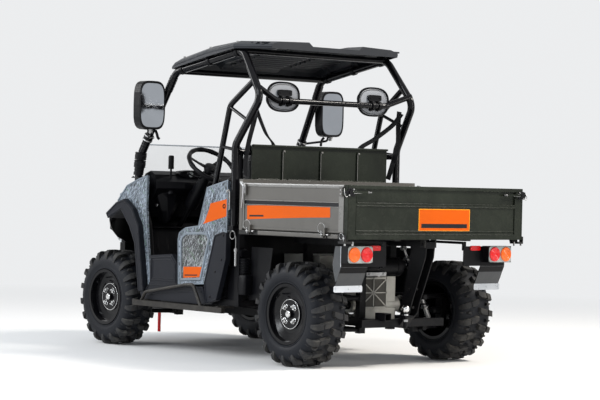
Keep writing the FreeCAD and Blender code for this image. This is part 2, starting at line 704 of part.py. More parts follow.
def bed_side(side):
    """The subframe rail, tailgate ear and side board hinges of one side."""
    pieces = []
    low_y = s.upper_rail_y - s.bed_rail_width / 2
    high_y = s.upper_rail_y + s.bed_rail_width / 2
    pieces.append(box((floor_rear, low_y, bed_rail_low), (s.bed_front_x - 40, high_y, floor_bottom)))
    # Lug of the bed's pivot, beside the central strut
    pivot_lug = box((s.bed_pivot_x - 20, 39, s.bed_pivot_z - 18), (s.bed_pivot_x + 20, 51, floor_bottom + 1))
    hole = rod("y", (s.bed_pivot_x, 30, s.bed_pivot_z), s.pivot_radius + s.running_gap, 30)
    pieces.append(cut(pivot_lug, hole))
    # Bracket under the corner, with an upright ear and the tailgate's pin
    out = s.bed_half_width
    pieces.append(box((s.bed_rear_x, out - 40, rim_bottom - 26), (floor_rear + 30, out + 13.5,
        rim_bottom - 13)))
    pieces.append(box((floor_rear, out - 45, rim_bottom - 13), (floor_rear + 30, out, rim_bottom)))
    pieces.append(box((s.bed_rear_x, out + 5.5, rim_bottom - 26), (s.bed_rear_x + 28, out + 13.5,
        s.tailgate_axis_z + 14)))
    pieces.append(rod("y", (tailgate_axis_x, out - 25, s.tailgate_axis_z), s.hinge_pin_radius, 38.5))
    for x in HINGE_X:
        for low in (x - LUG_HALF - EAR_GAP - s.hinge_ear, as_size(x + LUG_HALF + EAR_GAP)):
            pieces.append(box((low, out - 1, s.board_axis_z - 20), (low + s.hinge_ear, board_axis_y,
                s.board_axis_z + LUG_RADIUS)))
            pieces.append(rod("x", (low, board_axis_y, s.board_axis_z), LUG_RADIUS, s.hinge_ear))
        reach = LUG_HALF + EAR_GAP + s.hinge_ear
        pieces.append(rod("x", (x - reach, board_axis_y, s.board_axis_z), s.hinge_pin_radius, 2 * reach))
    whole = fuse(*pieces)
    return whole if side > 0 else mirrored(whole)


def bed_floor():
    plate_piece = fuse(
        box((floor_rear, -s.bed_half_width, floor_bottom), (s.bed_front_x, s.bed_half_width, floor_edge_z)),
        box((floor_rear, s.moving_gap - board_in, floor_bottom), (board_front, board_in - s.moving_gap,
            s.bed_floor_z)))
    frame = cut(
        box((floor_rear, -s.bed_half_width, rim_bottom), (s.bed_front_x, s.bed_half_width, floor_bottom)),
        box((floor_rear + 40, 40 - s.bed_half_width, rim_bottom - 1),
            (s.bed_front_x - 40, s.bed_half_width - 40, floor_bottom + 1)))
    crosses = [box((x, 20 - s.bed_half_width, rim_bottom), (x + 40, s.bed_half_width - 20, floor_bottom))
               for x in (-1240, -980, -720)]
    return fuse(plate_piece, frame, *crosses, bed_side(1), bed_side(-1))


node("bed_floor", bed_floor())

front_wall = box((s.bed_front_x - s.board_thick, -s.bed_half_width, floor_edge_z + s.seat_gap),
                 (s.bed_front_x, s.bed_half_width, s.bed_top_z))
front_flange = box((s.bed_front_x - s.board_thick, -s.bed_half_width, s.bed_top_z),
                   (s.bed_front_x + 6, s.bed_half_width, s.bed_top_z + s.front_flange_height))
node("bed_front_wall", fuse(front_wall, front_flange))


def side_board():
    """A side board: pressed wall with a groove along it, a post at its rear end, lugs and latches."""
    skin = box((board_rear, board_in, s.board_bottom_z), (board_front, s.bed_half_width, s.bed_top_z))
    press_rear = board_rear + s.board_post_width
    press_front = board_front - 12
    groove_low = s.board_groove_z - s.board_groove_height / 2
    groove_high = s.board_groove_z + s.board_groove_height / 2
    face = s.bed_half_width + 1
    presses = fuse(
        box((press_rear, s.bed_half_width - s.board_groove_depth, groove_low), (press_front, face,
            groove_high)),
        box((press_rear, s.bed_half_width - 3, groove_high), (press_front, face,
            s.bed_top_z - s.board_rail_height)),
        box((press_rear, s.bed_half_width - 3, s.board_bottom_z + 12), (press_front, face, groove_low)))
    pieces = [cut(skin, presses)]
    for x in HINGE_X:
        knuckle = fuse(
            rod("x", (x - LUG_HALF, board_axis_y, s.board_axis_z), LUG_RADIUS, 2 * LUG_HALF),
            box((x - LUG_HALF, board_axis_y - LUG_RADIUS, s.board_axis_z), (x + LUG_HALF,
                board_axis_y + LUG_RADIUS, s.board_bottom_z + 26)),
            box((x - LUG_HALF, s.bed_half_width - 4, s.board_bottom_z), (x + LUG_HALF, board_axis_y,
                s.board_bottom_z + 26)))
        bore = rod("x", (x - 30, board_axis_y, s.board_axis_z), s.hinge_pin_radius + s.running_gap, 60)
        pieces.append(cut(knuckle, bore))
    # Keeper of the tailgate's latch, and the latch to the front wall
    pieces.append(box((board_rear, s.bed_half_width, s.bed_top_z - 70), (board_rear + 30,
        s.bed_half_width + 16, s.bed_top_z - 14)))
    pieces.append(box((board_front - 46, s.bed_half_width, s.bed_top_z - 76), (board_front,
        s.bed_half_width + 14, s.bed_top_z - 8)))
    return fuse(*pieces)


left_board = side_board()
node("left_side_board", left_board)
node("right_side_board", mirrored(left_board))


def tailgate():
    slab = box((s.bed_rear_x, -s.bed_half_width, s.tailgate_bottom_z),
               (s.bed_rear_x + s.board_thick, s.bed_half_width, s.bed_top_z))
    inner_y = s.bed_half_width - 70
    recess = fuse(
        box((s.bed_rear_x - 1, -inner_y, s.board_groove_z + 12), (s.bed_rear_x + 8, inner_y,
            s.bed_top_z - 24)),
        box((s.bed_rear_x - 1, -inner_y, s.tailgate_bottom_z + 30), (s.bed_rear_x + 4, inner_y,
            s.board_groove_z)))
    hole = rod("y", (tailgate_axis_x, s.bed_half_width - 30, s.tailgate_axis_z),
        s.hinge_pin_radius + s.running_gap, 40)
    z = s.bed_top_z - 62
    latch = fuse(
        box((s.bed_rear_x - 8, s.bed_half_width - 66, z), (s.bed_rear_x, s.bed_half_width + 16, z + 40)),
        box((s.bed_rear_x - 8, s.bed_half_width + 1, z), (s.bed_rear_x + s.board_thick,
            s.bed_half_width + 16, z + 40)),
        box((s.bed_rear_x - 17, s.bed_half_width - 150, z + 14), (s.bed_rear_x - 7, s.bed_half_width - 30,
            z + 26)))
    return fuse(cut(slab, fuse(recess, hole, mirrored(hole))), latch, mirrored(latch))


node("tailgate", tailgate())


# Roll cage

def cage_side():
    main = tube([
        (s.cage_foot_x + 1.3, s.cage_foot_y, s.cage_foot_z - 10), (s.pillar_bend_x, s.cage_foot_y - 5,
            s.pillar_bend_z),
        (s.roof_bend_x, s.roof_bend_y, s.roof_bend_z), (s.hoop_top_x, s.hoop_top_y, s.hoop_top_z),
        (s.hoop_out_x, s.hoop_out_y, s.hoop_out_z), (s.hoop_low_x, s.hoop_low_y, s.hoop_low_z),
        (s.hoop_low_x, s.hoop_low_y, s.hoop_foot_z)], s.cage_radius)
    inner = tube([
        (s.inner_foot_x, s.inner_foot_y, s.seat_base_top_z + s.seat_gap),
        (s.inner_foot_x, s.inner_foot_y, s.seat_base_top_z + s.foot_stub),
        (s.inner_foot_x - 15, s.inner_foot_y + 5, 1090),
        (s.inner_bend_x, s.inner_foot_y + 5, s.inner_bend_z),
        (s.inner_top_x, 645, s.inner_top_z)], s.inner_tube_radius)
    upper = tube([(s.inner_bend_x - 5, s.inner_foot_y + 5, s.inner_bend_z - 14), (-430, 681, 1545)],
        s.brace_radius)
    lower = tube([(-128, s.inner_foot_y + 5, 1380), (s.hoop_low_x, s.hoop_low_y - 2, 1358)], s.brace_radius)
    foot = box((s.hoop_low_x - 30, s.hoop_low_y - 30, s.hoop_foot_z), (s.hoop_low_x + 30, s.hoop_low_y + 30,
        s.hoop_foot_z + 8))
    below = box((s.cage_foot_x - 60, s.cage_foot_y - 60, s.cage_foot_z - 60),
                (s.cage_foot_x + 60, s.cage_foot_y + 60, s.cage_foot_z + s.seat_gap))
    return cut(fuse(main, inner, upper, lower, foot), below)


cage_left = node("cage_left", cage_side())
cage_right = node("cage_right", mirrored(cage_left))
waist_bar_z = as_size(1345)
bar_end_x = s.hoop_out_x + 20
headrest_bar = tube([
    (bar_end_x, -s.hoop_out_y, 1760), (s.headrest_bar_x, -s.headrest_bar_y, s.headrest_bar_z),
    (s.headrest_bar_x, s.headrest_bar_y, s.headrest_bar_z), (bar_end_x, s.hoop_out_y, 1760)],
        s.inner_tube_radius, 120)
rear_bar = rod("y", (s.hoop_top_x + 15, -s.hoop_top_y, s.hoop_top_z - 4), s.inner_tube_radius,
    2 * s.hoop_top_y)
front_bar = rod("y", (s.roof_bend_x - 30, -s.roof_bend_y, s.roof_bend_z + 4), s.inner_tube_radius,
    2 * s.roof_bend_y)
waist_bar = rod("y", (s.hoop_low_x, -s.hoop_low_y, waist_bar_z), s.inner_tube_radius, 2 * s.hoop_low_y)
node("cage_crossbars", cut(together(headrest_bar, rear_bar, front_bar, waist_bar), fuse(cage_left,
    cage_right)))


# Roof: a moulded shell with a raised shoulder along each side

def roof_section(x, z, half, crown, skirt):
    shoulder = 0.43 * half
    points = [(half, z - skirt), (half, z), (half - 60, z + crown * 0.7), (shoulder, z + crown),
        (shoulder - 34, z + crown - 26)]
    left = [(-y, h) for y, h in reversed(points)]
    return [(x, y, h) for y, h in points + left]


def roof_rows():
    rear = float(s.roof_rear_x)
    front = float(s.roof_front_x)
    half = float(s.roof_half_width)
    skirt = float(s.roof_skirt)
    # along the roof: x, edge height, half width, crown, skirt
    return [
        (rear, 2047, half - 137, 27, skirt),
        (rear + 230, 2047, half, 34, skirt),
        (rear + 520, 2016, half, 42, skirt + 14),
        (front - 60, 1946, half - 6, 46, skirt + 6),
        (front, 1925, half - 26, 30, 20),
    ]


def rail_top_z(x):
    """The height of the top of the cage's roof rail at a place along it."""
    share = (x - float(s.hoop_top_x)) / (float(s.roof_bend_x) - float(s.hoop_top_x))
    return float(s.hoop_top_z) + share * (float(s.roof_bend_z) - float(s.hoop_top_z)) + float(s.cage_radius) * 1.016


def roof_shape():
    skin = float(s.roof_skin)
    rows = roof_rows()
    last = len(rows) - 1
    outer = loft([roof_section(*row) for row in rows])
    inner_rows = []
    for i, (x, z, w, c, k) in enumerate(rows):
        shift = skin if i == 0 else (-skin if i == last else 0)
        inner_rows.append((x + shift, z - skin, w - skin, c, k + 1))
    inner = loft([roof_section(*row) for row in inner_rows])
    shell = outer.cut(inner)
    # Six short mounts that stand on the cage's rails
    mounts = []
    for x in (-230, 60, 350):
        for side in (-1, 1):
            y = side * 628
            low = rail_top_z(x - 14) + float(s.seat_gap)
            post = Part.makeBox(28, 28, 80, Vector(x - 14, y - 14, low))
            mounts.append(post.common(outer))
    return shell.fuse(mounts)


node("roof", solid(roof_shape()))


# Cab rear panel with three pressed ribs and a folded top edge

panel_front_x = s.hoop_low_x - s.inner_tube_radius - s.cab_panel_gap
panel_rear = panel_front_x - s.cab_panel_thick
cab_sheet = box((panel_rear, -s.cab_panel_half_width, s.cab_panel_bottom_z), (panel_front_x,
    s.cab_panel_half_width, s.cab_panel_top_z))
cab_lip = box((panel_rear - 6, -s.cab_panel_half_width, s.cab_panel_top_z - 10), (panel_rear,
    s.cab_panel_half_width, s.cab_panel_top_z))
cab_ribs = [box((panel_rear - 8, y - 12, s.cab_panel_bottom_z + 20), (panel_rear, as_size(y) + 12,
    s.cab_panel_top_z - 28))
            for y in (-325, 0, 325)]
node("cab_rear_panel", fuse(cab_sheet, cab_lip, *cab_ribs))


# Outer panels: front quarter, fender flare, seat side, rear lower cover, sill

# corners: x, z
QUARTER = [(628, 1184), (738, 1158), (874, 1112), (985, 1005), (957, 988), (857, 1014), (752, 953),
           (673, 836), (600, 432), (560, 443), (603, 692), (632, 950)]
FLARE = [(602, 400), (676, 836), (752, 953), (857, 1018), (957, 990), (1077, 914), (1054, 880),
         (897, 947), (790, 831), (726, 721), (676, 438), (668, 390)]
SEAT_SIDE = [(-293, 1152), (-82, 1103), (6, 848), (150, 832), (215, 800), (228, 761), (216, 461), (-62, 482),
             (-165, 800), (-267, 828), (-293, 828)]
LOWER_COVER = [(-168, 800), (-267, 826), (-296, 820), (-296, 648), (-201, 374), (-88, 348), (-64, 482)]
SILL = [(664, 388), (600, 398), (560, 441), (560, 455), (-54, 455), (-84, 348), (-60, 340), (640, 340)]
DOOR_COVER = [(552, 455.3), (552, 640), (300, 657), (246, 600), (241, 455.3)]


def side_plate(outline, low, high):
    return plate("side", outline, low, high)


quarter = side_plate(QUARTER, s.panel_y, s.panel_y + s.panel_thick)
node("front_quarter_panels", both_sides(quarter))
flare_low = s.panel_y + s.panel_thick + s.seat_gap
flare = side_plate(FLARE, flare_low, flare_low + s.flare_thick)
node("front_fender_flares", both_sides(flare))
seat_side = side_plate(SEAT_SIDE, s.panel_y, s.panel_y + s.flare_thick)
node("seat_side_panels", both_sides(seat_side))
lower_cover = side_plate(LOWER_COVER, s.panel_y, s.panel_y + s.flare_thick)
sill = side_plate(SILL, sill_out + s.seat_gap, s.panel_y + s.flare_thick)
door_cover = side_plate(DOOR_COVER, s.panel_y, s.panel_y + s.flare_thick)
lower_panels = [lower_cover, sill, door_cover]
node("lower_side_covers", together(*lower_panels, *[mirrored(panel) for panel in lower_panels]))


# Front wheel arches, floor, dashboard, hood and nose

ARCH = [(668, 400), (676, 438), (726, 721), (790, 831), (897, 947), (1054, 880), (1056, 884), (897, 952),
        (786, 835), (722, 723), (672, 439), (664, 401)]
arch = side_plate(ARCH, rail_out + s.seat_gap, flare_low - s.seat_gap)

column_way = Vector(math.cos(math.radians(float(s.column_angle))), 0,
    -math.sin(math.radians(float(s.column_angle))))


def along_column(distance):
    centre = Vector(float(s.wheel_centre_x), float(s.wheel_centre_y), float(s.wheel_centre_z))
    return centre + column_way * distance


column_hole = solid(Part.makeCylinder(24, 800, along_column(200), column_way))
node("front_wheel_arches", cut(both_sides(arch), column_hole))

FLOOR = [(-60, 0), (620, 0), (650, 20), (700, 330), (760, 440), (880, 580), (876, 586), (754, 446),
         (693, 334), (643, 28), (616, 12), (-60, 12)]
floor_points = [(x, s.floor_z + z) for x, z in FLOOR]
node("floor_pan", cut(side_plate(floor_points, 5 - sill_in, sill_in - 5), column_hole))

DASH = [(880, 1000), (800, 1150), (760, 1195), (700, 1215), (650, 1190), (640, 1120), (700, 1010),
        (730, 900), (745, 905), (720, 1010), (662, 1120), (670, 1178), (704, 1196), (752, 1180),
        (790, 1140), (866, 998)]
dash_shell = side_plate(DASH, -640, 640)
node("dashboard", cut(dash_shell, column_hole))


def hood_section(x, z, half, crown, drop):
    points = [(half, z - drop), (half, z), (half * 0.82, z + crown * 0.75), (half * 0.45, z + crown)]
    left = [(-y, h) for y, h in reversed(points)]
    return [(x, y, h) for y, h in points + left]


def hood_shape():
    rear = float(s.hood_rear_x)
    front = float(s.hood_front_x)
    edge = float(s.panel_y) - float(s.seat_gap)
    # along the hood: x, edge height, half width, crown, skirt
    rows = [(rear + 26, 1120, edge, 48, 50), (rear + 190, 1050, edge, 66, 60), (rear + 430, 975, 540, 66, 60),
            (front, 915, 400, 50, 46)]
    outer = loft([hood_section(*row) for row in rows])
    inner_rows = [(x + (-1 if i == 0 else 0) + (-5 if i == 3 else 0), z - 5, w - 5, c, d + 1)
                  for i, (x, z, w, c, d) in enumerate(rows)]
    inner = loft([hood_section(*row) for row in inner_rows])
    return outer.cut(inner)


node("hood", solid(hood_shape()))


NOSE_TOP = 868.7
NOSE_LOW = 560
GRILLE_BARS = (655, 690, 725, 760)


def nose_block():
    back = float(s.hood_front_x)
    front = float(s.fascia_front_x)
    # height, half width at the front, half width behind
    rows = [(NOSE_LOW, 300, 400), (NOSE_TOP, 320, 399)]
    return loft([[(back, -wide, z), (front, -narrow, z), (front, narrow, z), (back, wide, z),
                  (back - 60, wide, z), (back - 60, -wide, z)] for z, narrow, wide in rows])


def lamp_block(reach):
    """The space of a headlamp in each of the nose's sloped corners."""
    front = float(s.fascia_front_x)
    blocks = [Part.makeBox(80, 96 + 2 * reach, 88 + 2 * reach, Vector(front - 70, side * 352 - 48 - reach,
        700 - reach))
              for side in (-1, 1)]
    return blocks[0].fuse(blocks[1])


def corner_shape(side):
    """The panel from the flare's front tip under the hood's edge to the nose."""
    # x, top edge's y and z, bottom edge's y and z
    rows = [(1064, 644, 962, 716, 886), (1240, 523, 908, 600, 800), (1396, 402, 868, 440, 765)]
    sections = [[(x, side * top_y, top_z), (x, side * low_y, low_z), (x, side * (low_y - 7), low_z - 2),
                 (x, side * (top_y - 7), top_z - 2)] for x, top_y, top_z, low_y, low_z in rows]
    return loft(sections)


def nose_shape():
    """The nose below the hood: a grille of bars in the middle, a lamp's place in each corner."""
    back = float(s.hood_front_x)
    outer = nose_block()
    hollow = Part.makeBox(200, 560, 190, Vector(back - 70, -280, 620))
    bars = [Part.makeBox(14, 580, 14, Vector(back + 24, -290, z)) for z in GRILLE_BARS]
    posts = [Part.makeBox(10, 10, 200, Vector(back + 18, y - 5, 615)) for y in (-140, 0, 140)]
    shell = outer.cut(hollow).cut(lamp_block(float(s.seat_gap)))
    corners = [corner_shape(side) for side in (-1, 1)]
    return shell.fuse(bars + posts + corners)


node("nose_panel", solid(nose_shape()))
node("headlamps", solid(nose_block().common(lamp_block(0))))


# Half windscreen, seats, headrests

def rounded(centre_y, centre_z, half_width, half_height, fullness, corners=24):
    """A rounded outline between an ellipse and a rectangle."""
    points = []
    for i in range(corners):
        turn = 2 * math.pi * i / corners
        a = math.cos(turn)
        b = math.sin(turn)
        points.append((as_size(centre_y) + half_width * math.copysign(abs(a) ** (2 / fullness), a),
                       as_size(centre_z) + half_height * math.copysign(abs(b) ** (2 / fullness), b)))
    return points


screen_gap = s.cage_radius * 1.007 + s.seat_gap
WINDSCREEN = [
    (s.cage_foot_x + screen_gap, s.cage_foot_z + 2), (s.pillar_bend_x + screen_gap, s.pillar_bend_z),
    (s.pillar_bend_x + screen_gap - 9, 1392), (s.pillar_bend_x + screen_gap - 4, 1392),
    (s.pillar_bend_x + screen_gap + 5, s.pillar_bend_z), (s.cage_foot_x + screen_gap + 5, s.cage_foot_z + 2)]
# A strip with its ends on the pillars carries the screen
low_x = s.cage_foot_x + screen_gap - 9.7
high_x = low_x - 3.9
STRIP = [(low_x, 1240), (high_x, 1270), (high_x + 5, 1270), (low_x + 5, 1240)]
node("windscreen", fuse(side_plate(WINDSCREEN, -655, 655), side_plate(STRIP, -690, 690)))

SILL_TOP = 455
base_low = s.floor_z + s.floor_thick + s.seat_gap
narrow = sill_out - s.seat_gap
wide = s.panel_y - s.seat_gap
inner = narrow - s.seat_base_wall
seat_shell = cut(
    fuse(box((s.seat_base_rear_x, -narrow, base_low), (s.seat_base_front_x, narrow, s.seat_base_top_z)),
         box((s.seat_base_rear_x, -wide, s.seat_gap + SILL_TOP), (s.seat_base_front_x, wide,
             s.seat_base_top_z))),
    box((s.seat_base_rear_x + s.seat_base_wall, -inner, s.floor_z),
        (s.seat_base_front_x - s.seat_base_wall, inner, s.seat_base_top_z - s.seat_base_wall)))
node("seat_base", seat_shell)

seat_low = s.seat_base_top_z + s.seat_gap
cushion = box((s.seat_base_rear_x + 10, 30, seat_low), (s.seat_base_front_x + 10, s.seat_half_width,
    seat_low + s.cushion_height))
back_rear = s.hoop_low_x + s.inner_tube_radius + s.seat_gap
back_low = seat_low + s.cushion_height + s.seat_gap
BACK = [(-200, back_low), (-236, 1362), (back_rear, 1362), (back_rear, 1320), (-280, back_low)]
back_rest = side_plate(BACK, 30, s.seat_half_width)
seats = [cushion, back_rest]
node("seats", together(*seats, *[mirrored(piece) for piece in seats]))

plate_front = s.headrest_bar_x + s.inner_tube_radius + 14
shell = plate("front", rounded(392, 1712, 140, 100, 2.6), plate_front - 12, plate_front)
clamp = box((s.headrest_bar_x + s.inner_tube_radius + s.seat_gap, 340, 1672), (plate_front - 12, 444, 1702))
node("headrest_shells", both_sides(fuse(shell, clamp)))
pad = plate("front", rounded(392, 1712, 134, 94, 2.6), plate_front + s.seat_gap, plate_front + 60)
node("headrest_pads", both_sides(pad))


# Mirrors, steering, shift lever

def pillar_point(z):
    """A point on the pillar's centre line above its lower bend."""
    low = Vector(float(s.pillar_bend_x), float(s.cage_foot_y) - 5, float(s.pillar_bend_z))
    high = Vector(float(s.roof_bend_x), float(s.roof_bend_y), float(s.roof_bend_z))
    share = (z - low.z) / (high.z - low.z)
    return low + (high - low) * share, (high - low).normalize()


def mirror_shape():
    x = float(s.mirror_x)
    y = float(s.mirror_y)
    z = float(s.mirror_z)
    width = float(s.mirror_width)
    height = float(s.mirror_height)
    outline = [Vector(x - 30, float(a), float(b)) for a, b in rounded(y, z, width / 2, height / 2, 4)]
    case = Part.Face(Part.makePolygon(outline + outline[:1])).extrude(Vector(70, 0, 0))
    centre, way = pillar_point(1440)
    radius = float(s.cage_radius)
    sleeve = Part.makeCylinder(radius + 8, 46, centre - way * 23, way)
    bore = Part.makeCylinder(radius + float(s.seat_gap), 60, centre - way * 30, way)
    arm = tube_shape([(x + 10, y, z - height / 2 + 2), (x + 14, y - 6, 1462), (centre.x - 26, centre.y + 12,
        1440)], 8, 20)
    return case.fuse(arm).fuse(sleeve).cut(bore)


node("mirrors", both_sides(solid(mirror_shape())))


def steering_wheel_shape():
    back = column_way * -1
    across = Vector(0, 1, 0)
    up = back.cross(across)
    centre = along_column(0)
    ring_radius = float(s.steering_ring_radius)
    ring = Part.makeTorus(ring_radius, float(s.steering_grip_radius), centre, back)
    boss = Part.makeCylinder(38, 40, centre - back * 50, back)
    spokes = []
    for turn in (60, 180, 300):
        way = up * -math.cos(math.radians(turn)) + across * math.sin(math.radians(turn))
        spokes.append(Part.makeCylinder(9, ring_radius - 4, centre - back * 28,
            (way + back * 0.16).normalize()))
    return ring.fuse([boss] + spokes)


node("steering_wheel", solid(steering_wheel_shape()))


def steering_gear():
    """The column down to the toe board, two lower shafts, and the rack's housing with its pinion."""
    upper_joint = along_column(680)
    lower_joint = Vector(862, 186, 540)
    rack_x = float(s.rack_x)
    rack_z = float(s.rack_z)
    pinion = Vector(rack_x, 180, rack_z + 40)
    column = Part.makeCylinder(17, 680 - 50.3, along_column(50.3), column_way)
    shafts = []
    for start, end in ((upper_joint, lower_joint), (lower_joint, pinion)):
        shafts.append(Part.makeCylinder(11, (end - start).Length, start, (end - start).normalize()))
    joints = [Part.makeSphere(21, upper_joint), Part.makeSphere(16, lower_joint), Part.makeSphere(19, pinion)]
    half = float(s.rack_half)
    housing = Part.makeCylinder(float(s.rack_radius), 2 * half, Vector(rack_x, -half, rack_z), Vector(0, 1,
        0))
    tower = Part.makeCylinder(14, 40, Vector(rack_x, 180, rack_z), Vector(0, 0, 1))
    bore = Part.makeCylinder(float(s.rack_bar_radius + s.running_gap), 2 * half, Vector(rack_x, -half,
        rack_z), Vector(0, 1, 0))
    return column.fuse([housing, tower] + shafts + joints).cut(bore)


node("steering_gear", solid(steering_gear()))


def steering_rack():
    """The bar that slides in the housing, with a tie rod at each end that reaches under the steering arm."""
    rack_x = float(s.rack_x)
    rack_z = float(s.rack_z)
    half = float(s.rack_bar_half)
    bar = Part.makeCylinder(float(s.rack_bar_radius), 2 * half, Vector(rack_x, -half, rack_z), Vector(0, 1,
        0))
    rods = []
    for side in (-1, 1):
        start = Vector(rack_x, side * half, rack_z)
        end = Vector(float(arm_x), side * (float(s.kingpin_y) - 4),
            float(hub_z) - 8 - 5 - float(s.tie_rod_radius))
        way = end - start
        rods.append(Part.makeCylinder(float(s.tie_rod_radius), way.Length, start, way.normalize()))
        rods.append(Part.makeSphere(15, start))
        rods.append(Part.makeSphere(float(s.tie_rod_radius), end))
    return bar.fuse(rods)


node("steering_rack", solid(steering_rack()))

lever_z = as_size(1040)
lever_x = as_size(630)
bracket = box((lever_x - 8, 505, lever_z), (672, 533, lever_z + 20))
lever = rod("z", (lever_x, 519, lever_z), 7, 210)
knob = rod("z", (lever_x, 519, lever_z + 190), 17, 92)
node("shift_lever", fuse(lever, knob, bracket))


# Engine, axle gearboxes, muffler, air intake

engine_low = s.floor_z + s.seat_gap
node("engine_block", box((-600, -s.engine_half, engine_low), (-230, s.engine_half, s.engine_top_z)))
gearbox_low = s.rail_z + s.cross_height + s.seat_gap
gearbox = fuse(
    box((gearbox_rear_x, -125, gearbox_low), (gearbox_front_x, 195, s.gearbox_top_z)),
    box((gearbox_rear_x - 8, -40, 358), (gearbox_rear_x, 190, 555)),
    *[box((gearbox_rear_x - 13, y, 362), (gearbox_rear_x - 8, as_size(y) + 7, 551)) for y in range(-34, 186,
        24)],
    *[box((gearbox_rear_x - 11, -36, z), (gearbox_rear_x - 8, 186, as_size(z) + 7)) for z in (405, 453, 501)],
    rod("y", (rear_axle_x, -165, OUTPUT_Z), 50, 400))
front_diff = box((diff_rear_x, -s.diff_half, gearbox_low), (s.front_axle_x + s.front_post_near - s.seat_gap,
    s.diff_half, 400))
node("axle_gearboxes", together(gearbox, front_diff))
node("muffler", rod("y", (rear_axle_x - 20, -170, s.gearbox_top_z + 60 + s.seat_gap), 60, 340))

pipe = tube([(-253, 600, 590), (-253, 600, 1350), (-215, 600, 1376)], 19, 30)
cleaner = box((-300, 540, s.floor_z + s.seat_gap), (-225, 660, 599))
node("air_intake", fuse(pipe, cleaner))


# Rear guards, lamps, hitch, steps, bumper

guard_rear = s.guard_x
guard_front_x = s.guard_x + 6
GUARD = [(guard_rear, 770), (guard_front_x, 770), (guard_front_x, 641), (guard_rear + 62, 521),
    (guard_rear + 62, 490),
         (guard_rear + 56, 490), (guard_rear + 56, 519), (guard_rear, 639)]
guard = side_plate(GUARD, 484, 698)
guard_wing = box((guard_rear, 332, 644), (guard_front_x, 490, 770))
lamp_case = box((guard_rear - 60, s.lamp_y - 101, s.lamp_z - 54), (guard_rear, s.lamp_y + 101, s.lamp_z + 51))
node("rear_guards", both_sides(fuse(guard, guard_wing, lamp_case)))
lamp_x = guard_rear - 60 - s.seat_gap
lenses = [rod("x", (lamp_x - 12, s.lamp_y + side * 50, s.lamp_z), s.lamp_radius, 12) for side in (-1, 1)]
lenses.append(box((guard_rear - s.seat_gap - 8, 385, 742), (guard_rear - s.seat_gap, 475, 776)))
node("tail_lamps", together(*lenses, *[mirrored(lens) for lens in lenses]))

# Central strut: a channel open to the rear, from the rear cross tube up to the bed's pivot
hitch_front = s.rail_rear_x - s.seat_gap
beam_front = s.upper_rail_rear_x - s.seat_gap
strut_top = s.bed_pivot_z + 17
strut_low = s.bed_pivot_z - 15
STRUT = [(hitch_front, 256), (hitch_front, 296), (s.rail_rear_x - 21, 410), (s.rail_rear_x - 103, strut_low),
         (beam_front, strut_low), (beam_front, strut_top), (s.bed_pivot_x - 18, strut_top),
         (s.bed_pivot_x - 22, s.bed_pivot_z - 20), (s.bed_pivot_x - 15, 700), (-1325, 416), (-1302, 345)]
CHANNEL = [(s.rail_rear_x - 10, 320), (s.rail_rear_x - 30, 412), (s.rail_rear_x - 112, strut_low - 8),
           (s.bed_pivot_x - 60, strut_low - 8), (s.bed_pivot_x - 60, 690), (-1345, 410), (-1320, 320)]
strut = cut(side_plate(STRUT, -38, 38), side_plate(CHANNEL, -30, 30))
pin_holes = fuse(rod("y", (-1300, -50, 494), 9, 100), rod("y", (-1267, -50, 377), 9, 100))
tongue = box((-1335, 30, 318), (-1230, 98, 330))
hitch_ball = fuse(rod("z", (-1310, 75, 251), 13, 105), ball((-1310, 75, 371), 25), rod("z",
    (-1310, 75, 325), 20, 18))
pivot_pin = rod("y", (s.bed_pivot_x, -58, s.bed_pivot_z), s.pivot_radius, 116)
node("hitch", fuse(cut(strut, pin_holes), tongue, hitch_ball, pivot_pin))

step_bar = box((-316, s.step_y - 14, s.step_z - 18), (690, s.step_y + 14, s.step_z + 18))
step_hoop = tube([(605, s.step_y, 325), (553, s.step_y, 392), (98, s.step_y, 462), (12, s.step_y, 466),
    (-78, s.step_y, 322)], 11, 40)
arm_top = sill_low - s.seat_gap
step_arms = [box((x, sill_in, arm_top - 14), (x + 30, s.step_y, arm_top)) for x in (560, -260)]
node("side_steps", both_sides(fuse(step_bar, step_hoop, *step_arms)))

bumper_path = [(s.rail_front_x + s.seat_gap, s.rail_y, 275), (1300, s.rail_y, 275), (1430, 300, 330),
               (s.bumper_x, 300, 480), (s.bumper_x, 300, 700), (s.bumper_x, 180, 800)]
mirror_path = [(x, -y, z) for x, y, z in reversed(bumper_path)]
bumper_hoop = tube(bumper_path + mirror_path, 20, 60)
bumper_bar = rod("y", (s.bumper_x, -300, 480), 16, 600)
winch_foot = box((s.rail_front_x + s.seat_gap, -150, 250), (1440, 150, 262))
winch_drum = rod("y", (1385, -120, 312), 44, 240)
winch_ends = [box((1335, y, 255), (1435, as_size(y) + 40, 365)) for y in (-150, 110)]
winch_lead = box((1440, -70, 235), (1452, 70, 340))
bumper_feet = [box((1290, y, 258), (1320, as_size(y) + 70, 275)) for y in (-215, 145)]
front_bumper = fuse(bumper_hoop, bumper_bar, winch_foot, winch_drum, *winch_ends, winch_lead, *bumper_feet)
node("front_bumper", front_bumper)
node("pull_strap", box((1452 + s.seat_gap, -12, 40), (1456, 12, 240)))

# Splash panels before the rear wheels, each on two tabs from the hoop's post
SPLASH = [(-372, 387), (-402, 730), (-620, 730), (-590, 560), (-575, 387)]
splash = side_plate(SPLASH, 600, 606)
tab_front = s.hoop_low_x - 25 - s.seat_gap
tabs = [box((tab_front - 50, 600, z), (tab_front, sill_in + 12, z + 20)) for z in (440, 620)]
node("splash_panels", both_sides(fuse(splash, *tabs)))


# Checks and files

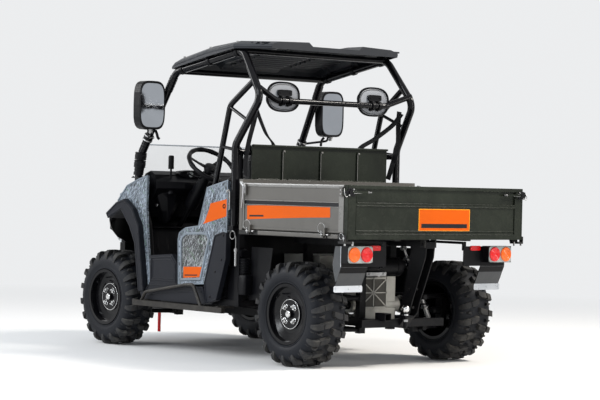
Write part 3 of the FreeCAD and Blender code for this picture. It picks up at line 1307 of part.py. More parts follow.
doc.recompute()
faults = [o.Label for o in doc.Objects if "Invalid" in o.State or "Error" in o.State]
if faults:
    raise RuntimeError(f"failed pieces: {faults}")
os.makedirs("parts", exist_ok=True)
for name, piece in nodes:
    shape = piece.Shape
    if shape.isNull() or not shape.isValid():
        raise RuntimeError(f"{name} has no sound shape")
    shape.exportStep(f"parts/{name}.step")
box_all = Part.makeCompound([piece.Shape for _, piece in nodes]).BoundBox
print(f"{len(nodes)} pieces, {box_all}")
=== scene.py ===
import math

import bmesh
import bpy
from mathutils import Matrix, Vector


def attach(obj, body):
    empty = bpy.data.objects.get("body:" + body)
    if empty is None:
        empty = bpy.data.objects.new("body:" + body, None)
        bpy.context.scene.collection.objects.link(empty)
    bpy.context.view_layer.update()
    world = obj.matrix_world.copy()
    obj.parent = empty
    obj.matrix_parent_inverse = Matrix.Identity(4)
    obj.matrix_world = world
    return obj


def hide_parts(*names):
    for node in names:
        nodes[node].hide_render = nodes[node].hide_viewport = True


# Side by side utility vehicle: materials, tread, seats, lamps, latches and trim over the fixed frame.
# Metres, +X forward, +Y left, +Z up.

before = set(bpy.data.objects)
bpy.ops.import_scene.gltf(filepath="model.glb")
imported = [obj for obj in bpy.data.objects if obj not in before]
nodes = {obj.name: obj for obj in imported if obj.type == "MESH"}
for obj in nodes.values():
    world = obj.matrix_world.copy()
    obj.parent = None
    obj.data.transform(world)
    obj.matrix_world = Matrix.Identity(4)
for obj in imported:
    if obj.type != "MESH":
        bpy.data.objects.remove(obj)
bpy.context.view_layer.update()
scene = bpy.context.scene


# Camera: the photograph's view, worked out from the wheels, the bed and the cage

AZIMUTH = math.radians(50.6163)
PITCH = math.radians(-0.3697)
ROLL = math.radians(1.2799)
EYE = Vector((-11.0909, 8.9863, 1.1291))
FOCAL_PIXELS = 2095.58
IMAGE_WIDTH = 600
SENSOR_WIDTH = 36
FAR_CLIP = 200


def place_camera():
    sight = Vector((math.sin(AZIMUTH) * math.cos(PITCH), -math.cos(AZIMUTH) * math.cos(PITCH),
                    math.sin(PITCH)))
    level = Vector((-math.cos(AZIMUTH), -math.sin(AZIMUTH), 0))
    upright = level.cross(sight)
    right = level * math.cos(ROLL) + upright * math.sin(ROLL)
    up = upright * math.cos(ROLL) - level * math.sin(ROLL)
    data = bpy.data.cameras.new("camera")
    data.sensor_width = SENSOR_WIDTH
    data.lens = FOCAL_PIXELS / IMAGE_WIDTH * SENSOR_WIDTH
    data.clip_end = FAR_CLIP
    camera = bpy.data.objects.new("camera", data)
    turn = Matrix((right, up, -sight)).transposed().to_4x4()
    camera.matrix_world = Matrix.Translation(EYE) @ turn
    scene.collection.objects.link(camera)
    scene.camera = camera


place_camera()
scene.view_settings.view_transform = "Standard"


# Shader nodes: shorthand for making, setting and joining them

def node_tree(owner):
    owner.use_nodes = True
    owner.node_tree.nodes.clear()
    return owner.node_tree


def add(tree, kind, **values):
    made = tree.nodes.new("ShaderNode" + kind)
    for key, value in values.items():
        setattr(made, key, value)
    return made


def put(node, **values):
    """Sets a node's inputs by name, with _ for a space."""
    for label, value in values.items():
        node.inputs[label.replace("_", " ")].default_value = value
    return node


def join(tree, *ends):
    """Links sockets in pairs: from, to, from, to."""
    for start, end in zip(ends[::2], ends[1::2]):
        tree.links.new(start, end)


def noise(tree, coordinates, scale, detail=4, roughness=0.55):
    made = put(add(tree, "TexNoise"), Scale=scale, Detail=detail, Roughness=roughness)
    join(tree, coordinates, made.inputs["Vector"])
    return made.outputs["Fac"]


def remap(tree, value, low, high, to_low=0.0, to_high=1.0):
    made = put(add(tree, "MapRange", clamp=True), From_Min=low, From_Max=high, To_Min=to_low, To_Max=to_high)
    join(tree, value, made.inputs["Value"])
    return made.outputs["Result"]


def feed(tree, socket, value):
    """Gives a socket a number, a colour or a link."""
    if isinstance(value, tuple):
        socket.default_value = value if len(value) == 4 else value + (1,)
    elif isinstance(value, (int, float)):
        socket.default_value = value
    else:
        tree.links.new(value, socket)


def calc(tree, operation, *terms):
    made = add(tree, "Math", operation=operation)
    for socket, value in zip(made.inputs, terms):
        feed(tree, socket, value)
    return made.outputs[0]


def blend_colour(tree, factor, a, b):
    made = add(tree, "Mix", data_type="RGBA", blend_type="MIX")
    for place, value in ((0, factor), (6, a), (7, b)):
        feed(tree, made.inputs[place], value)
    return made.outputs[2]


# Studio: pale floor, pale world, a broad key from the rear right, softer fills, tall strips left and behind

BACKGROUND = (0.84, 0.85, 0.86, 1)
SKY = (0.80, 0.86, 0.95, 1)
SKY_STRENGTH = 0.55


def make_world():
    """Pale where the camera and the mirrors look, with a cooler, weaker sky for the light that it gives."""
    world = bpy.data.worlds.new("studio")
    scene.world = world
    tree = node_tree(world)
    out = add(tree, "OutputWorld")
    seen = put(add(tree, "Background"), Color=BACKGROUND)
    lit = put(add(tree, "Background"), Color=SKY, Strength=SKY_STRENGTH)
    path = add(tree, "LightPath").outputs
    mirrored = calc(tree, "MAXIMUM", path["Is Glossy Ray"], path["Is Transmission Ray"])
    rays = calc(tree, "MAXIMUM", path["Is Camera Ray"], mirrored)
    mix = add(tree, "MixShader")
    join(tree, rays, mix.inputs["Fac"], lit.outputs[0], mix.inputs[1], seen.outputs[0], mix.inputs[2],
         mix.outputs[0], out.inputs["Surface"])


def area_light(name, at, aim, size, power, colour=(1, 1, 1), height=None):
    data = bpy.data.lights.new(name, "AREA")
    data.size = size
    if height:
        data.shape = "RECTANGLE"
        data.size_y = height
    data.energy = power
    data.color = colour
    light = bpy.data.objects.new(name, data)
    light.location = at
    light.rotation_euler = (Vector(aim) - Vector(at)).to_track_quat("-Z", "Y").to_euler()
    scene.collection.objects.link(light)


make_world()
area_light("key", (-5.0, -4.5, 7.0), (0, 0, 0.8), 2.2, 900, (1.0, 0.95, 0.88))
area_light("sky_fill", (-2.0, 8.0, 6.5), (0, 0, 0.9), 4.0, 420, (0.90, 0.95, 1.0))
area_light("front_rim", (6.5, 5.0, 4.5), (0.5, 0, 0.9), 3.0, 260)
area_light("left_strip", (3.4, 8.0, 2.6), (0, 0.5, 1.0), 0.7, 190, (0.92, 0.96, 1.0), height=5.0)
area_light("rear_strip", (-8.5, -2.6, 2.4), (-1.0, 0, 1.0), 0.7, 150, (1.0, 0.97, 0.92), height=4.6)


# Shader groups shared by the materials

FLOAT = "NodeSocketFloat"
COLOUR = "NodeSocketColor"


def new_group(name, inputs, outputs):
    group = bpy.data.node_groups.new(name, "ShaderNodeTree")
    for label, kind, value in inputs:
        socket = group.interface.new_socket(label, in_out="INPUT", socket_type=kind)
        socket.default_value = value
    for label, kind in outputs:
        group.interface.new_socket(label, in_out="OUTPUT", socket_type=kind)
    enter = group.nodes.new("NodeGroupInput")
    leave = group.nodes.new("NodeGroupOutput")
    return group, enter.outputs, leave.inputs


def make_surface_group():
    """Dust low down and on what looks up, fine grain, and slow variation, all from the object's place."""
    group, given, leave = new_group("worn_surface", [("Base", COLOUR, (0.1, 0.1, 0.1, 1)),
                                                     ("Dust", COLOUR, (0.3, 0.27, 0.22, 1)),
                                                     ("Dust Amount", FLOAT, 0.3), ("Roughness", FLOAT, 0.4),
                                                     ("Variation", FLOAT, 0.15),
                                                     ("Grain Scale", FLOAT, 400.0), ("Grain", FLOAT, 0.2)],
                                    [("Colour", COLOUR), ("Roughness", FLOAT), ("Height", FLOAT)])
    coordinates = add(group, "TexCoord").outputs["Object"]
    geometry = add(group, "NewGeometry")
    slow = noise(group, coordinates, 2.3, 5)
    middle = noise(group, coordinates, 17, 6, 0.65)
    fine = put(add(group, "TexNoise"), Detail=3)
    join(group, coordinates, fine.inputs["Vector"], given["Grain Scale"], fine.inputs["Scale"])
    split = add(group, "SeparateXYZ")
    join(group, coordinates, split.inputs[0])
    low = remap(group, split.outputs["Z"], 0.05, 1.2, 1.0, 0.12)
    normal = add(group, "SeparateXYZ")
    join(group, geometry.outputs["Normal"], normal.inputs[0])
    upward = remap(group, normal.outputs["Z"], 0.2, 1.0, 0.35, 1.0)
    spots = remap(group, middle, 0.42, 0.72)
    dust = calc(group, "MULTIPLY", calc(group, "MULTIPLY", low, upward), spots)
    dust = calc(group, "MULTIPLY", dust, given["Dust Amount"])
    shade = remap(group, slow, 0.25, 0.75, -1.0, 1.0)
    shade = calc(group, "MULTIPLY_ADD", shade, given["Variation"], 1.0)
    tone = add(group, "HueSaturation")
    join(group, given["Base"], tone.inputs["Color"], shade, tone.inputs["Value"])
    colour = blend_colour(group, dust, tone.outputs[0], given["Dust"])
    rough = calc(group, "ADD", given["Roughness"], calc(group, "MULTIPLY", dust, 0.5))
    rough = calc(group, "ADD", rough, remap(group, middle, 0.3, 0.7, -0.05, 0.05))
    height = calc(group, "MULTIPLY", fine.outputs["Fac"], given["Grain"])
    join(group, colour, leave["Colour"], rough, leave["Roughness"], height, leave["Height"])
    return group


def make_streak_group(name, dark, middle, light, leaf_colour, cover):
    """Fine crossing streaks of light and dark, like dry grass: a generic print of our own."""
    group, given, leave = new_group(name, [("Dark", COLOUR, dark + (1,)), ("Middle", COLOUR, middle + (1,)),
                                           ("Light", COLOUR, light + (1,)),
                                           ("Leaf", COLOUR, leaf_colour + (1,))], [("Colour", COLOUR)])
    coordinates = add(group, "TexCoord").outputs["Object"]

    def streaks(turn, scale, stretch, low, high):
        spin = put(add(group, "Mapping"), Rotation=(0, turn, 0))
        squeeze = put(add(group, "Mapping"), Scale=(1, 1, stretch))
        made = put(add(group, "TexNoise"), Scale=scale, Detail=3.0, Distortion=1.6)
        join(group, coordinates, spin.inputs["Vector"], spin.outputs[0], squeeze.inputs["Vector"],
             squeeze.outputs[0], made.inputs["Vector"])
        return remap(group, made.outputs["Fac"], low, high)

    patches = remap(group, noise(group, coordinates, 7, 3), 0.42, 0.6)
    colour = blend_colour(group, patches, given["Dark"], given["Middle"])
    light_one = streaks(0.5, 150, 0.09, 0.55 + cover, 0.59 + cover)
    light_two = streaks(-0.45, 130, 0.1, 0.56 + cover, 0.60 + cover)
    light_three = streaks(0.95, 190, 0.08, 0.57 + cover, 0.61 + cover)
    dark_one = streaks(0.15, 110, 0.1, 0.52, 0.57)
    leaf = streaks(-0.9, 60, 0.14, 0.63, 0.66)
    for layer, share, tint in ((light_one, 0.8, "Light"), (light_two, 0.75, "Light"), (dark_one, 0.9, "Dark"),
                               (light_three, 0.6, "Light"), (leaf, 0.7, "Leaf")):
        colour = blend_colour(group, calc(group, "MULTIPLY", layer, share), colour, given[tint])
    join(group, colour, leave["Colour"])
    return group


worn_surface = make_surface_group()
dry_grass_print = make_streak_group("dry_grass_print", (0.018, 0.022, 0.028), (0.085, 0.105, 0.13),
                                    (0.40, 0.46, 0.53), (0.06, 0.13, 0.06), 0.0)
dark_grass_print = make_streak_group("dark_grass_print", (0.008, 0.009, 0.010), (0.035, 0.038, 0.040),
                                     (0.42, 0.44, 0.45), (0.05, 0.12, 0.05), 0.01)

BUMP_HEIGHT = 0.002


def new_material(name):
    """A material's tree, with a Principled shader joined to its output."""
    made = bpy.data.materials.new(name)
    tree = node_tree(made)
    out = add(tree, "OutputMaterial")
    shader = add(tree, "BsdfPrincipled")
    join(tree, shader.outputs[0], out.inputs["Surface"])
    return made, tree, shader


def material(name, base, rough, metallic=0.0, coat=0.0, dust=0.25, variation=0.12, grain_scale=400.0,
             grain=0.2, bump=0.15, dust_colour=(0.30, 0.27, 0.22), print_group=None, shine=0.5):
    """A finish: the shared worn surface over one base colour, on a Principled shader of its own."""
    made, tree, shader = new_material(name)
    surface = put(add(tree, "Group", node_tree=worn_surface), Base=base + (1,), Dust=dust_colour + (1,),
                  Dust_Amount=dust, Roughness=rough, Variation=variation, Grain_Scale=grain_scale,
                  Grain=grain)
    if print_group:
        pattern = add(tree, "Group", node_tree=print_group)
        join(tree, pattern.outputs["Colour"], surface.inputs["Base"])
    relief = put(add(tree, "Bump"), Strength=bump, Distance=BUMP_HEIGHT)
    join(tree, surface.outputs["Colour"], shader.inputs["Base Color"],
         surface.outputs["Roughness"], shader.inputs["Roughness"],
         surface.outputs["Height"], relief.inputs["Height"], relief.outputs[0], shader.inputs["Normal"])
    put(shader, Metallic=metallic, Coat_Weight=coat, Specular_IOR_Level=shine)
    return made


# What groups of finishes share
GRAINED = dict(variation=0.12, grain_scale=520, grain=0.6, bump=0.3)
PRINTED = dict(coat=0.1, variation=0.05, grain=0.1, bump=0.05, shine=0.35)
FILM = dict(dust=0.03, variation=0.05, grain=0.05, bump=0.03)
LENS = dict(coat=0.15, dust=0.0, grain_scale=90, grain=0.6, bump=0.35)
CASTING = dict(dust=0.4, grain_scale=240, grain=0.9, bump=0.4)

TYRE = material("tyre_rubber", (0.010, 0.011, 0.014), 0.50, dust=0.25, variation=0.25, grain_scale=260,
                bump=0.25, dust_colour=(0.060, 0.056, 0.050), shine=0.12)
LUG = material("tyre_lug_rubber", (0.022, 0.022, 0.023), 0.62, dust=0.75, variation=0.35, grain_scale=260,
               bump=0.3, dust_colour=(0.16, 0.15, 0.13), shine=0.15)
RIM = material("rim_gloss_black", (0.003, 0.003, 0.004), 0.14, dust=0.03, grain=0.05, bump=0.05,
               shine=0.18)
TUBE = material("gloss_black_tube", (0.003, 0.003, 0.004), 0.13, dust=0.02, grain=0.05, grain_scale=180,
                bump=0.05, shine=0.2)
FRAME_PAINT = material("satin_black_frame", (0.005, 0.005, 0.006), 0.38, dust=0.05, variation=0.25, bump=0.1,
                       shine=0.12)
BED_PAINT = material("warm_grey_bed", (0.088, 0.082, 0.073), 0.34, coat=0.1, dust=0.15, variation=0.12,
                     grain=0.1, bump=0.05, shine=0.4)
# Dark green-grey paint with strong slow light and dark blotches: painted dappled shadow, on the tailgate and
# the cab panel
GATE_PAINT = material("dark_green_grey_painted_dapple", (0.015, 0.018, 0.013), 0.26, dust=0.10, variation=0.55, grain=0.1,
                      bump=0.05, shine=0.15)
BED_FLOOR = material("bed_floor_black", (0.010, 0.010, 0.010), 0.45, dust=0.3, variation=0.3, bump=0.2,
                     shine=0.2)
PLASTIC = material("charcoal_plastic", (0.009, 0.010, 0.014), 0.40, dust=0.04, shine=0.14, **GRAINED)
DARK_PLASTIC = material("black_plastic", (0.004, 0.004, 0.005), 0.36, dust=0.015, shine=0.12, **GRAINED)
# The roof's black plastic, lifted to a bluish grey as a painted sky sheen on its top and edges
ROOF = material("roof_black_plastic_painted_sheen", (0.014, 0.016, 0.020), 0.42, dust=0.02, grain_scale=520, grain=0.3,
                bump=0.05, shine=0.28)
PRINT = material("grass_print_panel", (0.2, 0.2, 0.2), 0.34, dust=0.12, print_group=dry_grass_print,
                 **PRINTED)
PRINT_LIGHT = material("print_rim", (0.16, 0.19, 0.22), 0.32, coat=0.1, dust=0.1, variation=0.35, grain=0.1,
                       bump=0.05, shine=0.35)
PRINT_DARK = material("grass_print_field", (0.2, 0.2, 0.2), 0.34, dust=0.08, print_group=dark_grass_print,
                      **PRINTED)
# Pale blue-grey for the windscreen's top rail: a painted highlight along the screen's edge
SCREEN_EDGE_HIGHLIGHT = material("screen_edge_painted_highlight", (0.62, 0.66, 0.70), 0.15, coat=0.3, dust=0.0, grain=0.0, bump=0.0)
VINYL = material("black_vinyl", (0.006, 0.006, 0.007), 0.40, dust=0.06, variation=0.15, grain_scale=700,
                 grain=0.9, bump=0.35, shine=0.2)
SILVER = material("silver_grey_shell", (0.24, 0.25, 0.27), 0.34, dust=0.05, variation=0.3, grain_scale=300,
                  grain=0.5, bump=0.12)
CAST = material("cast_aluminium", (0.34, 0.33, 0.30), 0.42, metallic=0.5, variation=0.4,
                dust_colour=(0.05, 0.045, 0.038), **CASTING)
# A darker cast for the field between the gearbox cover's crossed ribs
CAST_DARK = material("darker_cast_field", (0.060, 0.056, 0.048), 0.55, variation=0.5,
                     dust_colour=(0.03, 0.028, 0.024), shine=0.25, **CASTING)
STEEL = material("zinc_steel", (0.36, 0.36, 0.36), 0.32, metallic=0.9, dust=0.2, variation=0.3, bump=0.08)
BRIGHT = material("polished_steel", (0.66, 0.66, 0.66), 0.12, metallic=1.0, dust=0.05, grain=0.05, bump=0.03)
# Bare aluminium for the guards' bars, and also the bright strip painted as highlight along the guards' edges
ALUMINIUM_AND_EDGE_HIGHLIGHT = material("bare_aluminium_and_painted_edge_highlight", (0.55, 0.57, 0.60), 0.30, metallic=0.85, dust=0.1, variation=0.25,
                          bump=0.06)
STEP = material("worn_step_paint", (0.018, 0.016, 0.014), 0.34, dust=0.25, variation=0.35, bump=0.2,
                shine=0.2)
ORANGE = material("orange_vinyl_film", (0.60, 0.088, 0.0), 0.42, shine=0.12, **FILM)
YELLOW = material("yellow_vinyl_film", (0.86, 0.36, 0.01), 0.38, shine=0.25, **FILM)
BLACK_FILM = material("black_vinyl_film", (0.004, 0.004, 0.006), 0.35, shine=0.25, **FILM)
# Lighter grey for the board rails, posts and rib tops: painted highlight where light catches the edges
PAINTED_HIGHLIGHT_GREY = material("painted_highlight_grey_fold", (0.15, 0.145, 0.135), 0.30, coat=0.2, dust=0.1, variation=0.12,
                      grain=0.1, bump=0.05)
WEBBING = material("black_webbing", (0.006, 0.006, 0.007), 0.75, dust=0.05, grain_scale=1100, grain=1.0,
                   bump=0.6, shine=0.2)
RED_LENS = material("red_lens", (0.62, 0.003, 0.004), 0.12, **LENS)
AMBER_LENS = material("amber_lens", (0.80, 0.12, 0.0), 0.12, **LENS)
PLATE_GREY = material("pale_grey_plate", (0.30, 0.32, 0.31), 0.40, dust=0.15, variation=0.15, bump=0.08)
GUARD_GREY = material("grey_guard", (0.045, 0.048, 0.052), 0.42, dust=0.2, variation=0.2, bump=0.1,
                      shine=0.35)
RED_WEB = material("red_webbing", (0.50, 0.008, 0.010), 0.7, dust=0.05, grain_scale=900, grain=1.0, bump=0.5)


def glass_material(name, tint, alpha):
    made, tree, shader = new_material(name)
    put(shader, Base_Color=tint + (1,), Roughness=0.04, Alpha=alpha, Coat_Weight=0.5)
    return made


SCREEN = glass_material("clear_screen", (0.75, 0.82, 0.86), 0.09)
MIRROR_GLASS = material("mirror_glass", (0.36, 0.38, 0.41), 0.06, metallic=1.0, dust=0.0, grain=0.0, bump=0.0)

LAMP_CLEAR = material("headlamp_lens", (0.55, 0.58, 0.60), 0.08, coat=1.0, dust=0.0, grain_scale=60,
                      grain=0.7, bump=0.4)

# The finish of each CAD node
CORNERS = ("front_left", "front_right", "rear_left", "rear_right")
FINISHES = (
    (TYRE, [corner + "_tyre" for corner in CORNERS]),
    (RIM, [corner + "_rim" for corner in CORNERS]),
    (FRAME_PAINT, ("frame_rails", "upper_frame", "side_frames", "frame_crossmembers",
                   "front_suspension_arms", "rear_suspension_arms", "dampers", "drive_shafts",
                   "rear_hub_carriers", "steering_gear", "muffler", "hitch")),
    (STEEL, ("front_left_knuckle", "front_right_knuckle", "steering_rack")),
    (BED_FLOOR, ("bed_floor",)),
    (BED_PAINT, ("bed_front_wall", "left_side_board", "right_side_board")),
    (GATE_PAINT, ("tailgate", "cab_rear_panel")),
    (TUBE, ("cage_left", "cage_right", "cage_crossbars", "front_bumper")),
    (ROOF, ("roof",)),
    (PRINT, ("front_quarter_panels", "seat_side_panels", "hood")),
    (PLASTIC, ("front_fender_flares", "lower_side_covers")),
    (DARK_PLASTIC, ("front_wheel_arches", "floor_pan", "dashboard", "nose_panel", "seat_base", "mirrors",
                    "steering_wheel", "shift_lever", "air_intake", "rear_guards", "splash_panels")),
    (SCREEN, ("windscreen",)),
    (VINYL, ("seats", "headrest_pads")),
    (SILVER, ("headrest_shells",)),
    (CAST, ("engine_block", "axle_gearboxes")),
    (RED_LENS, ("tail_lamps",)),
    (STEP, ("side_steps",)),
    (LAMP_CLEAR, ("headlamps",)),
    (RED_WEB, ("pull_strap",)),
)


def paint(thing, finish):
    thing.data.materials.clear()
    thing.data.materials.append(finish)


for finish, names in FINISHES:
    for name in names:
        paint(nodes[name], finish)


# Floor: pale near the vehicle, where its shadow falls, and fading into the background farther out

FLOOR_REACH = 60
FADE_START = 2.6
FADE_END = 9.0


def make_floor():
    mesh = bpy.data.meshes.new("floor")
    far = FLOOR_REACH
    mesh.from_pydata([(-far, -far, 0), (far, -far, 0), (far, far, 0), (-far, far, 0)], [], [(0, 1, 2, 3)])
    floor = bpy.data.objects.new("floor", mesh)
    scene.collection.objects.link(floor)
    made = bpy.data.materials.new("pale_floor")
    tree = node_tree(made)
    out = add(tree, "OutputMaterial")
    shader = put(add(tree, "BsdfPrincipled"), Base_Color=(0.80, 0.79, 0.77, 1), Roughness=0.9)
    backdrop = put(add(tree, "Emission"), Color=BACKGROUND)
    place = add(tree, "TexCoord").outputs["Object"]
    away = add(tree, "VectorMath", operation="LENGTH")
    join(tree, place, away.inputs[0])
    fade = remap(tree, away.outputs["Value"], FADE_START, FADE_END)
    mix = add(tree, "MixShader")
    join(tree, fade, mix.inputs["Fac"], shader.outputs[0], mix.inputs[1], backdrop.outputs[0], mix.inputs[2],
         mix.outputs[0], out.inputs["Surface"])
    floor.data.materials.append(made)


make_floor()


# Shapes that the pieces are made of

ACROSS = Vector((0, 1, 0))


def circle(at, side, other, radius, sides):
    """Points round a place, in the plane of two directions."""
    return [at + (side * math.cos(a) + other * math.sin(a)) * radius
            for a in (2 * math.pi * i / sides for i in range(sides))]


def square_to(way):
    """Two directions square to a third and to each other."""
    side = way.orthogonal().normalized()
    return side, way.cross(side)


class Form:
    """One mesh gathered from blocks, bars, outlines and turned profiles."""

    def __init__(self):
        self.mesh = bmesh.new()

    def loops(self, rows, closed_ends=True, ring=False):
        """Skin between rows of points, each row a loop; a ring joins the last row to the first."""
        made = [[self.mesh.verts.new(p) for p in row] for row in rows]
        count = len(rows[0])
        for row, following in zip(made, made[1:] + (made[:1] if ring else [])):
            for i in range(count):
                j = (i + 1) % count
                self.mesh.faces.new((row[i], row[j], following[j], following[i]))
        if closed_ends and not ring:
            self.mesh.faces.new(list(reversed(made[0])))
            self.mesh.faces.new(made[-1])
        return self

    def block(self, low, high):
        (x0, y0, z0), (x1, y1, z1) = low, high
        return self.loops([[(x0, y0, z), (x1, y0, z), (x1, y1, z), (x0, y1, z)] for z in (z0, z1)])

    def prism(self, outline, axis, low, high):
        """An outline of two-number corners, drawn across an axis and carried along it."""
        place = "xyz".index(axis)
        return self.loops([[(*corner[:place], c, *corner[place:]) for corner in outline]
                           for c in (low, high)])

    def bar(self, start, end, radius, sides=16, end_radius=None):
        start, end = Vector(start), Vector(end)
        side, other = square_to((end - start).normalized())
        last = radius if end_radius is None else end_radius
        return self.loops([circle(start, side, other, radius, sides), circle(end, side, other, last, sides)])

    def turned(self, profile, at, way, sides=32, closed=False):
        """A profile of (along, radius) corners turned about a line; closed where the profile is a loop."""
        at, way = Vector(at), Vector(way).normalized()
        side, other = square_to(way)
        return self.loops([circle(at + way * along, side, other, r, sides) for along, r in profile],
                          ring=closed)

    def hose(self, points, radius, sides=12, flat=None, up=(0, 0, 1)):
        """A bar along a smooth line through the points; flat gives a strap's half thickness."""
        line = smooth_line(points)
        rows = []
        side = None
        for i, point in enumerate(line):
            way = (line[min(i + 1, len(line) - 1)] - line[max(i - 1, 0)]).normalized()
            if side is None:
                side = Vector(up).cross(way)
                side = side.normalized() if side.length > 0.01 else way.orthogonal().normalized()
            side = (side - way * side.dot(way)).normalized()
            other = way.cross(side)
            if flat is None:
                rows.append(circle(point, side, other, radius, sides))
            else:
                rows.append([point + side * a * radius + other * b * flat
                             for a, b in ((-1, -1), (1, -1), (1, 1), (-1, 1))])
        return self.loops(rows)

    def ball(self, at, radius, sides=20):
        profile = [(-radius * math.cos(a), radius * math.sin(a))
                   for a in (math.pi * (i + 0.5) / 12 for i in range(12))]
        return self.turned(profile, at, (0, 0, 1), sides)

    def made(self, name, finish, body="chassis", bevel=0.0, sharp=32, both=False, stands_for=()):
        """Turns the gathered shapes into a piece that rides on a body; both adds its twin on the right."""
        if both:
            twin = bmesh.ops.duplicate(self.mesh,
                                       geom=self.mesh.verts[:] + self.mesh.edges[:] + self.mesh.faces[:])
            for vert in (g for g in twin["geom"] if isinstance(g, bmesh.types.BMVert)):
                vert.co.y = -vert.co.y
        bmesh.ops.recalc_face_normals(self.mesh, faces=self.mesh.faces)
        data = bpy.data.meshes.new(name)
        self.mesh.to_mesh(data)
        self.mesh.free()
        thing = bpy.data.objects.new(name, data)
        scene.collection.objects.link(thing)
        data.polygons.foreach_set("use_smooth", [True] * len(data.polygons))
        data.set_sharp_from_angle(angle=math.radians(sharp))
        if bevel:
            edge = thing.modifiers.new("rounded_edges", "BEVEL")
            edge.width = bevel
            edge.segments = 2
            edge.limit_method = "ANGLE"
            edge.angle_limit = math.radians(sharp)
            edge.harden_normals = True
        paint(thing, finish)
        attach(thing, body)
        if stands_for:
            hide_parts(*stands_for)
        return thing


def smooth_line(points, per_span=8):
    """A curve through the points, by cubic spans."""
    corners = [Vector(p) for p in points]
    if len(corners) < 3:
        return corners
    padded = [corners[0] * 2 - corners[1]] + corners + [corners[-1] * 2 - corners[-2]]
    line = []
    for a, b, c, d in zip(padded, padded[1:], padded[2:], padded[3:]):
        for i in range(per_span):
            t = i / per_span
            line.append(0.5 * (2 * b + (c - a) * t + (2 * a - 5 * b + 4 * c - d) * t * t
                               + (3 * b - a - 3 * c + d) * t ** 3))
    line.append(corners[-1])
    return line


def soft_outline(half_width, half_height, fullness, count=48):
    """A rounded outline between an ellipse and a rectangle."""
    points = []
    for i in range(count):
        a, b = math.cos(2 * math.pi * i / count), math.sin(2 * math.pi * i / count)
        points.append((half_width * math.copysign(abs(a) ** (2 / fullness), a),
                       half_height * math.copysign(abs(b) ** (2 / fullness), b)))
    return points


def soft_rows(middle, half, fullness, stations, count=48):
    """Rows of a soft outline across X, at stations of (x, share of its size)."""
    return [[(x, middle[0] + a * share, middle[1] + b * share)
             for a, b in soft_outline(*half, fullness, count)] for x, share in stations]


def bolt(form, at, way, size=0.007):
    """A hexagon head on a washer."""
    at, way = Vector(at), Vector(way).normalized()
    form.bar(at, at + way * size * 0.25, size * 1.25, 16)
    form.bar(at + way * size * 0.25, at + way * size, size, 6, size * 0.96)


# Tyres: a rounded carcass with two rows of lugs half a step apart, as in the solids

# X, distance of the wheel from the middle, widths of tyre and rim, how far the rim's face is dished
AXLES = {"front": (1.060, 0.645, 0.235, 0.224, 0.057), "rear": (-0.940, 0.625, 0.270, 0.244, 0.043)}
HUB_Z = 0.330
LUGS = 18
LEAN = 0.22
TIP = 0.330
FOOT_SPREAD = 1.12
NUT_CIRCLE = 0.060
NUT_LEAN = 0.17
VALVE_REACH = 0.150
VALVE_TURN = 0.9


def wheel_point(x, centre, across, radius, turn, along=0.0):
    reach = Vector((math.sin(turn), 0, -math.cos(turn)))
    onward = Vector((math.cos(turn), 0, math.sin(turn)))
    return Vector((x, centre + across, HUB_Z)) + reach * radius + onward * along


def tread_block(form, x, centre, row, turn, foot, low, high):
    """A block of the tread: corners (across, along), from a low to a high radius, narrower at its top."""
    middle_a = sum(a for a, b in foot) / len(foot)
    middle_b = sum(b for a, b in foot) / len(foot)
    form.loops([[wheel_point(x, centre, row * (middle_a + (a - middle_a) * share), radius, turn,
                             middle_b + (b - middle_b) * share) for a, b in foot]
                for radius, share in ((low, FOOT_SPREAD), (high, 1.0))])


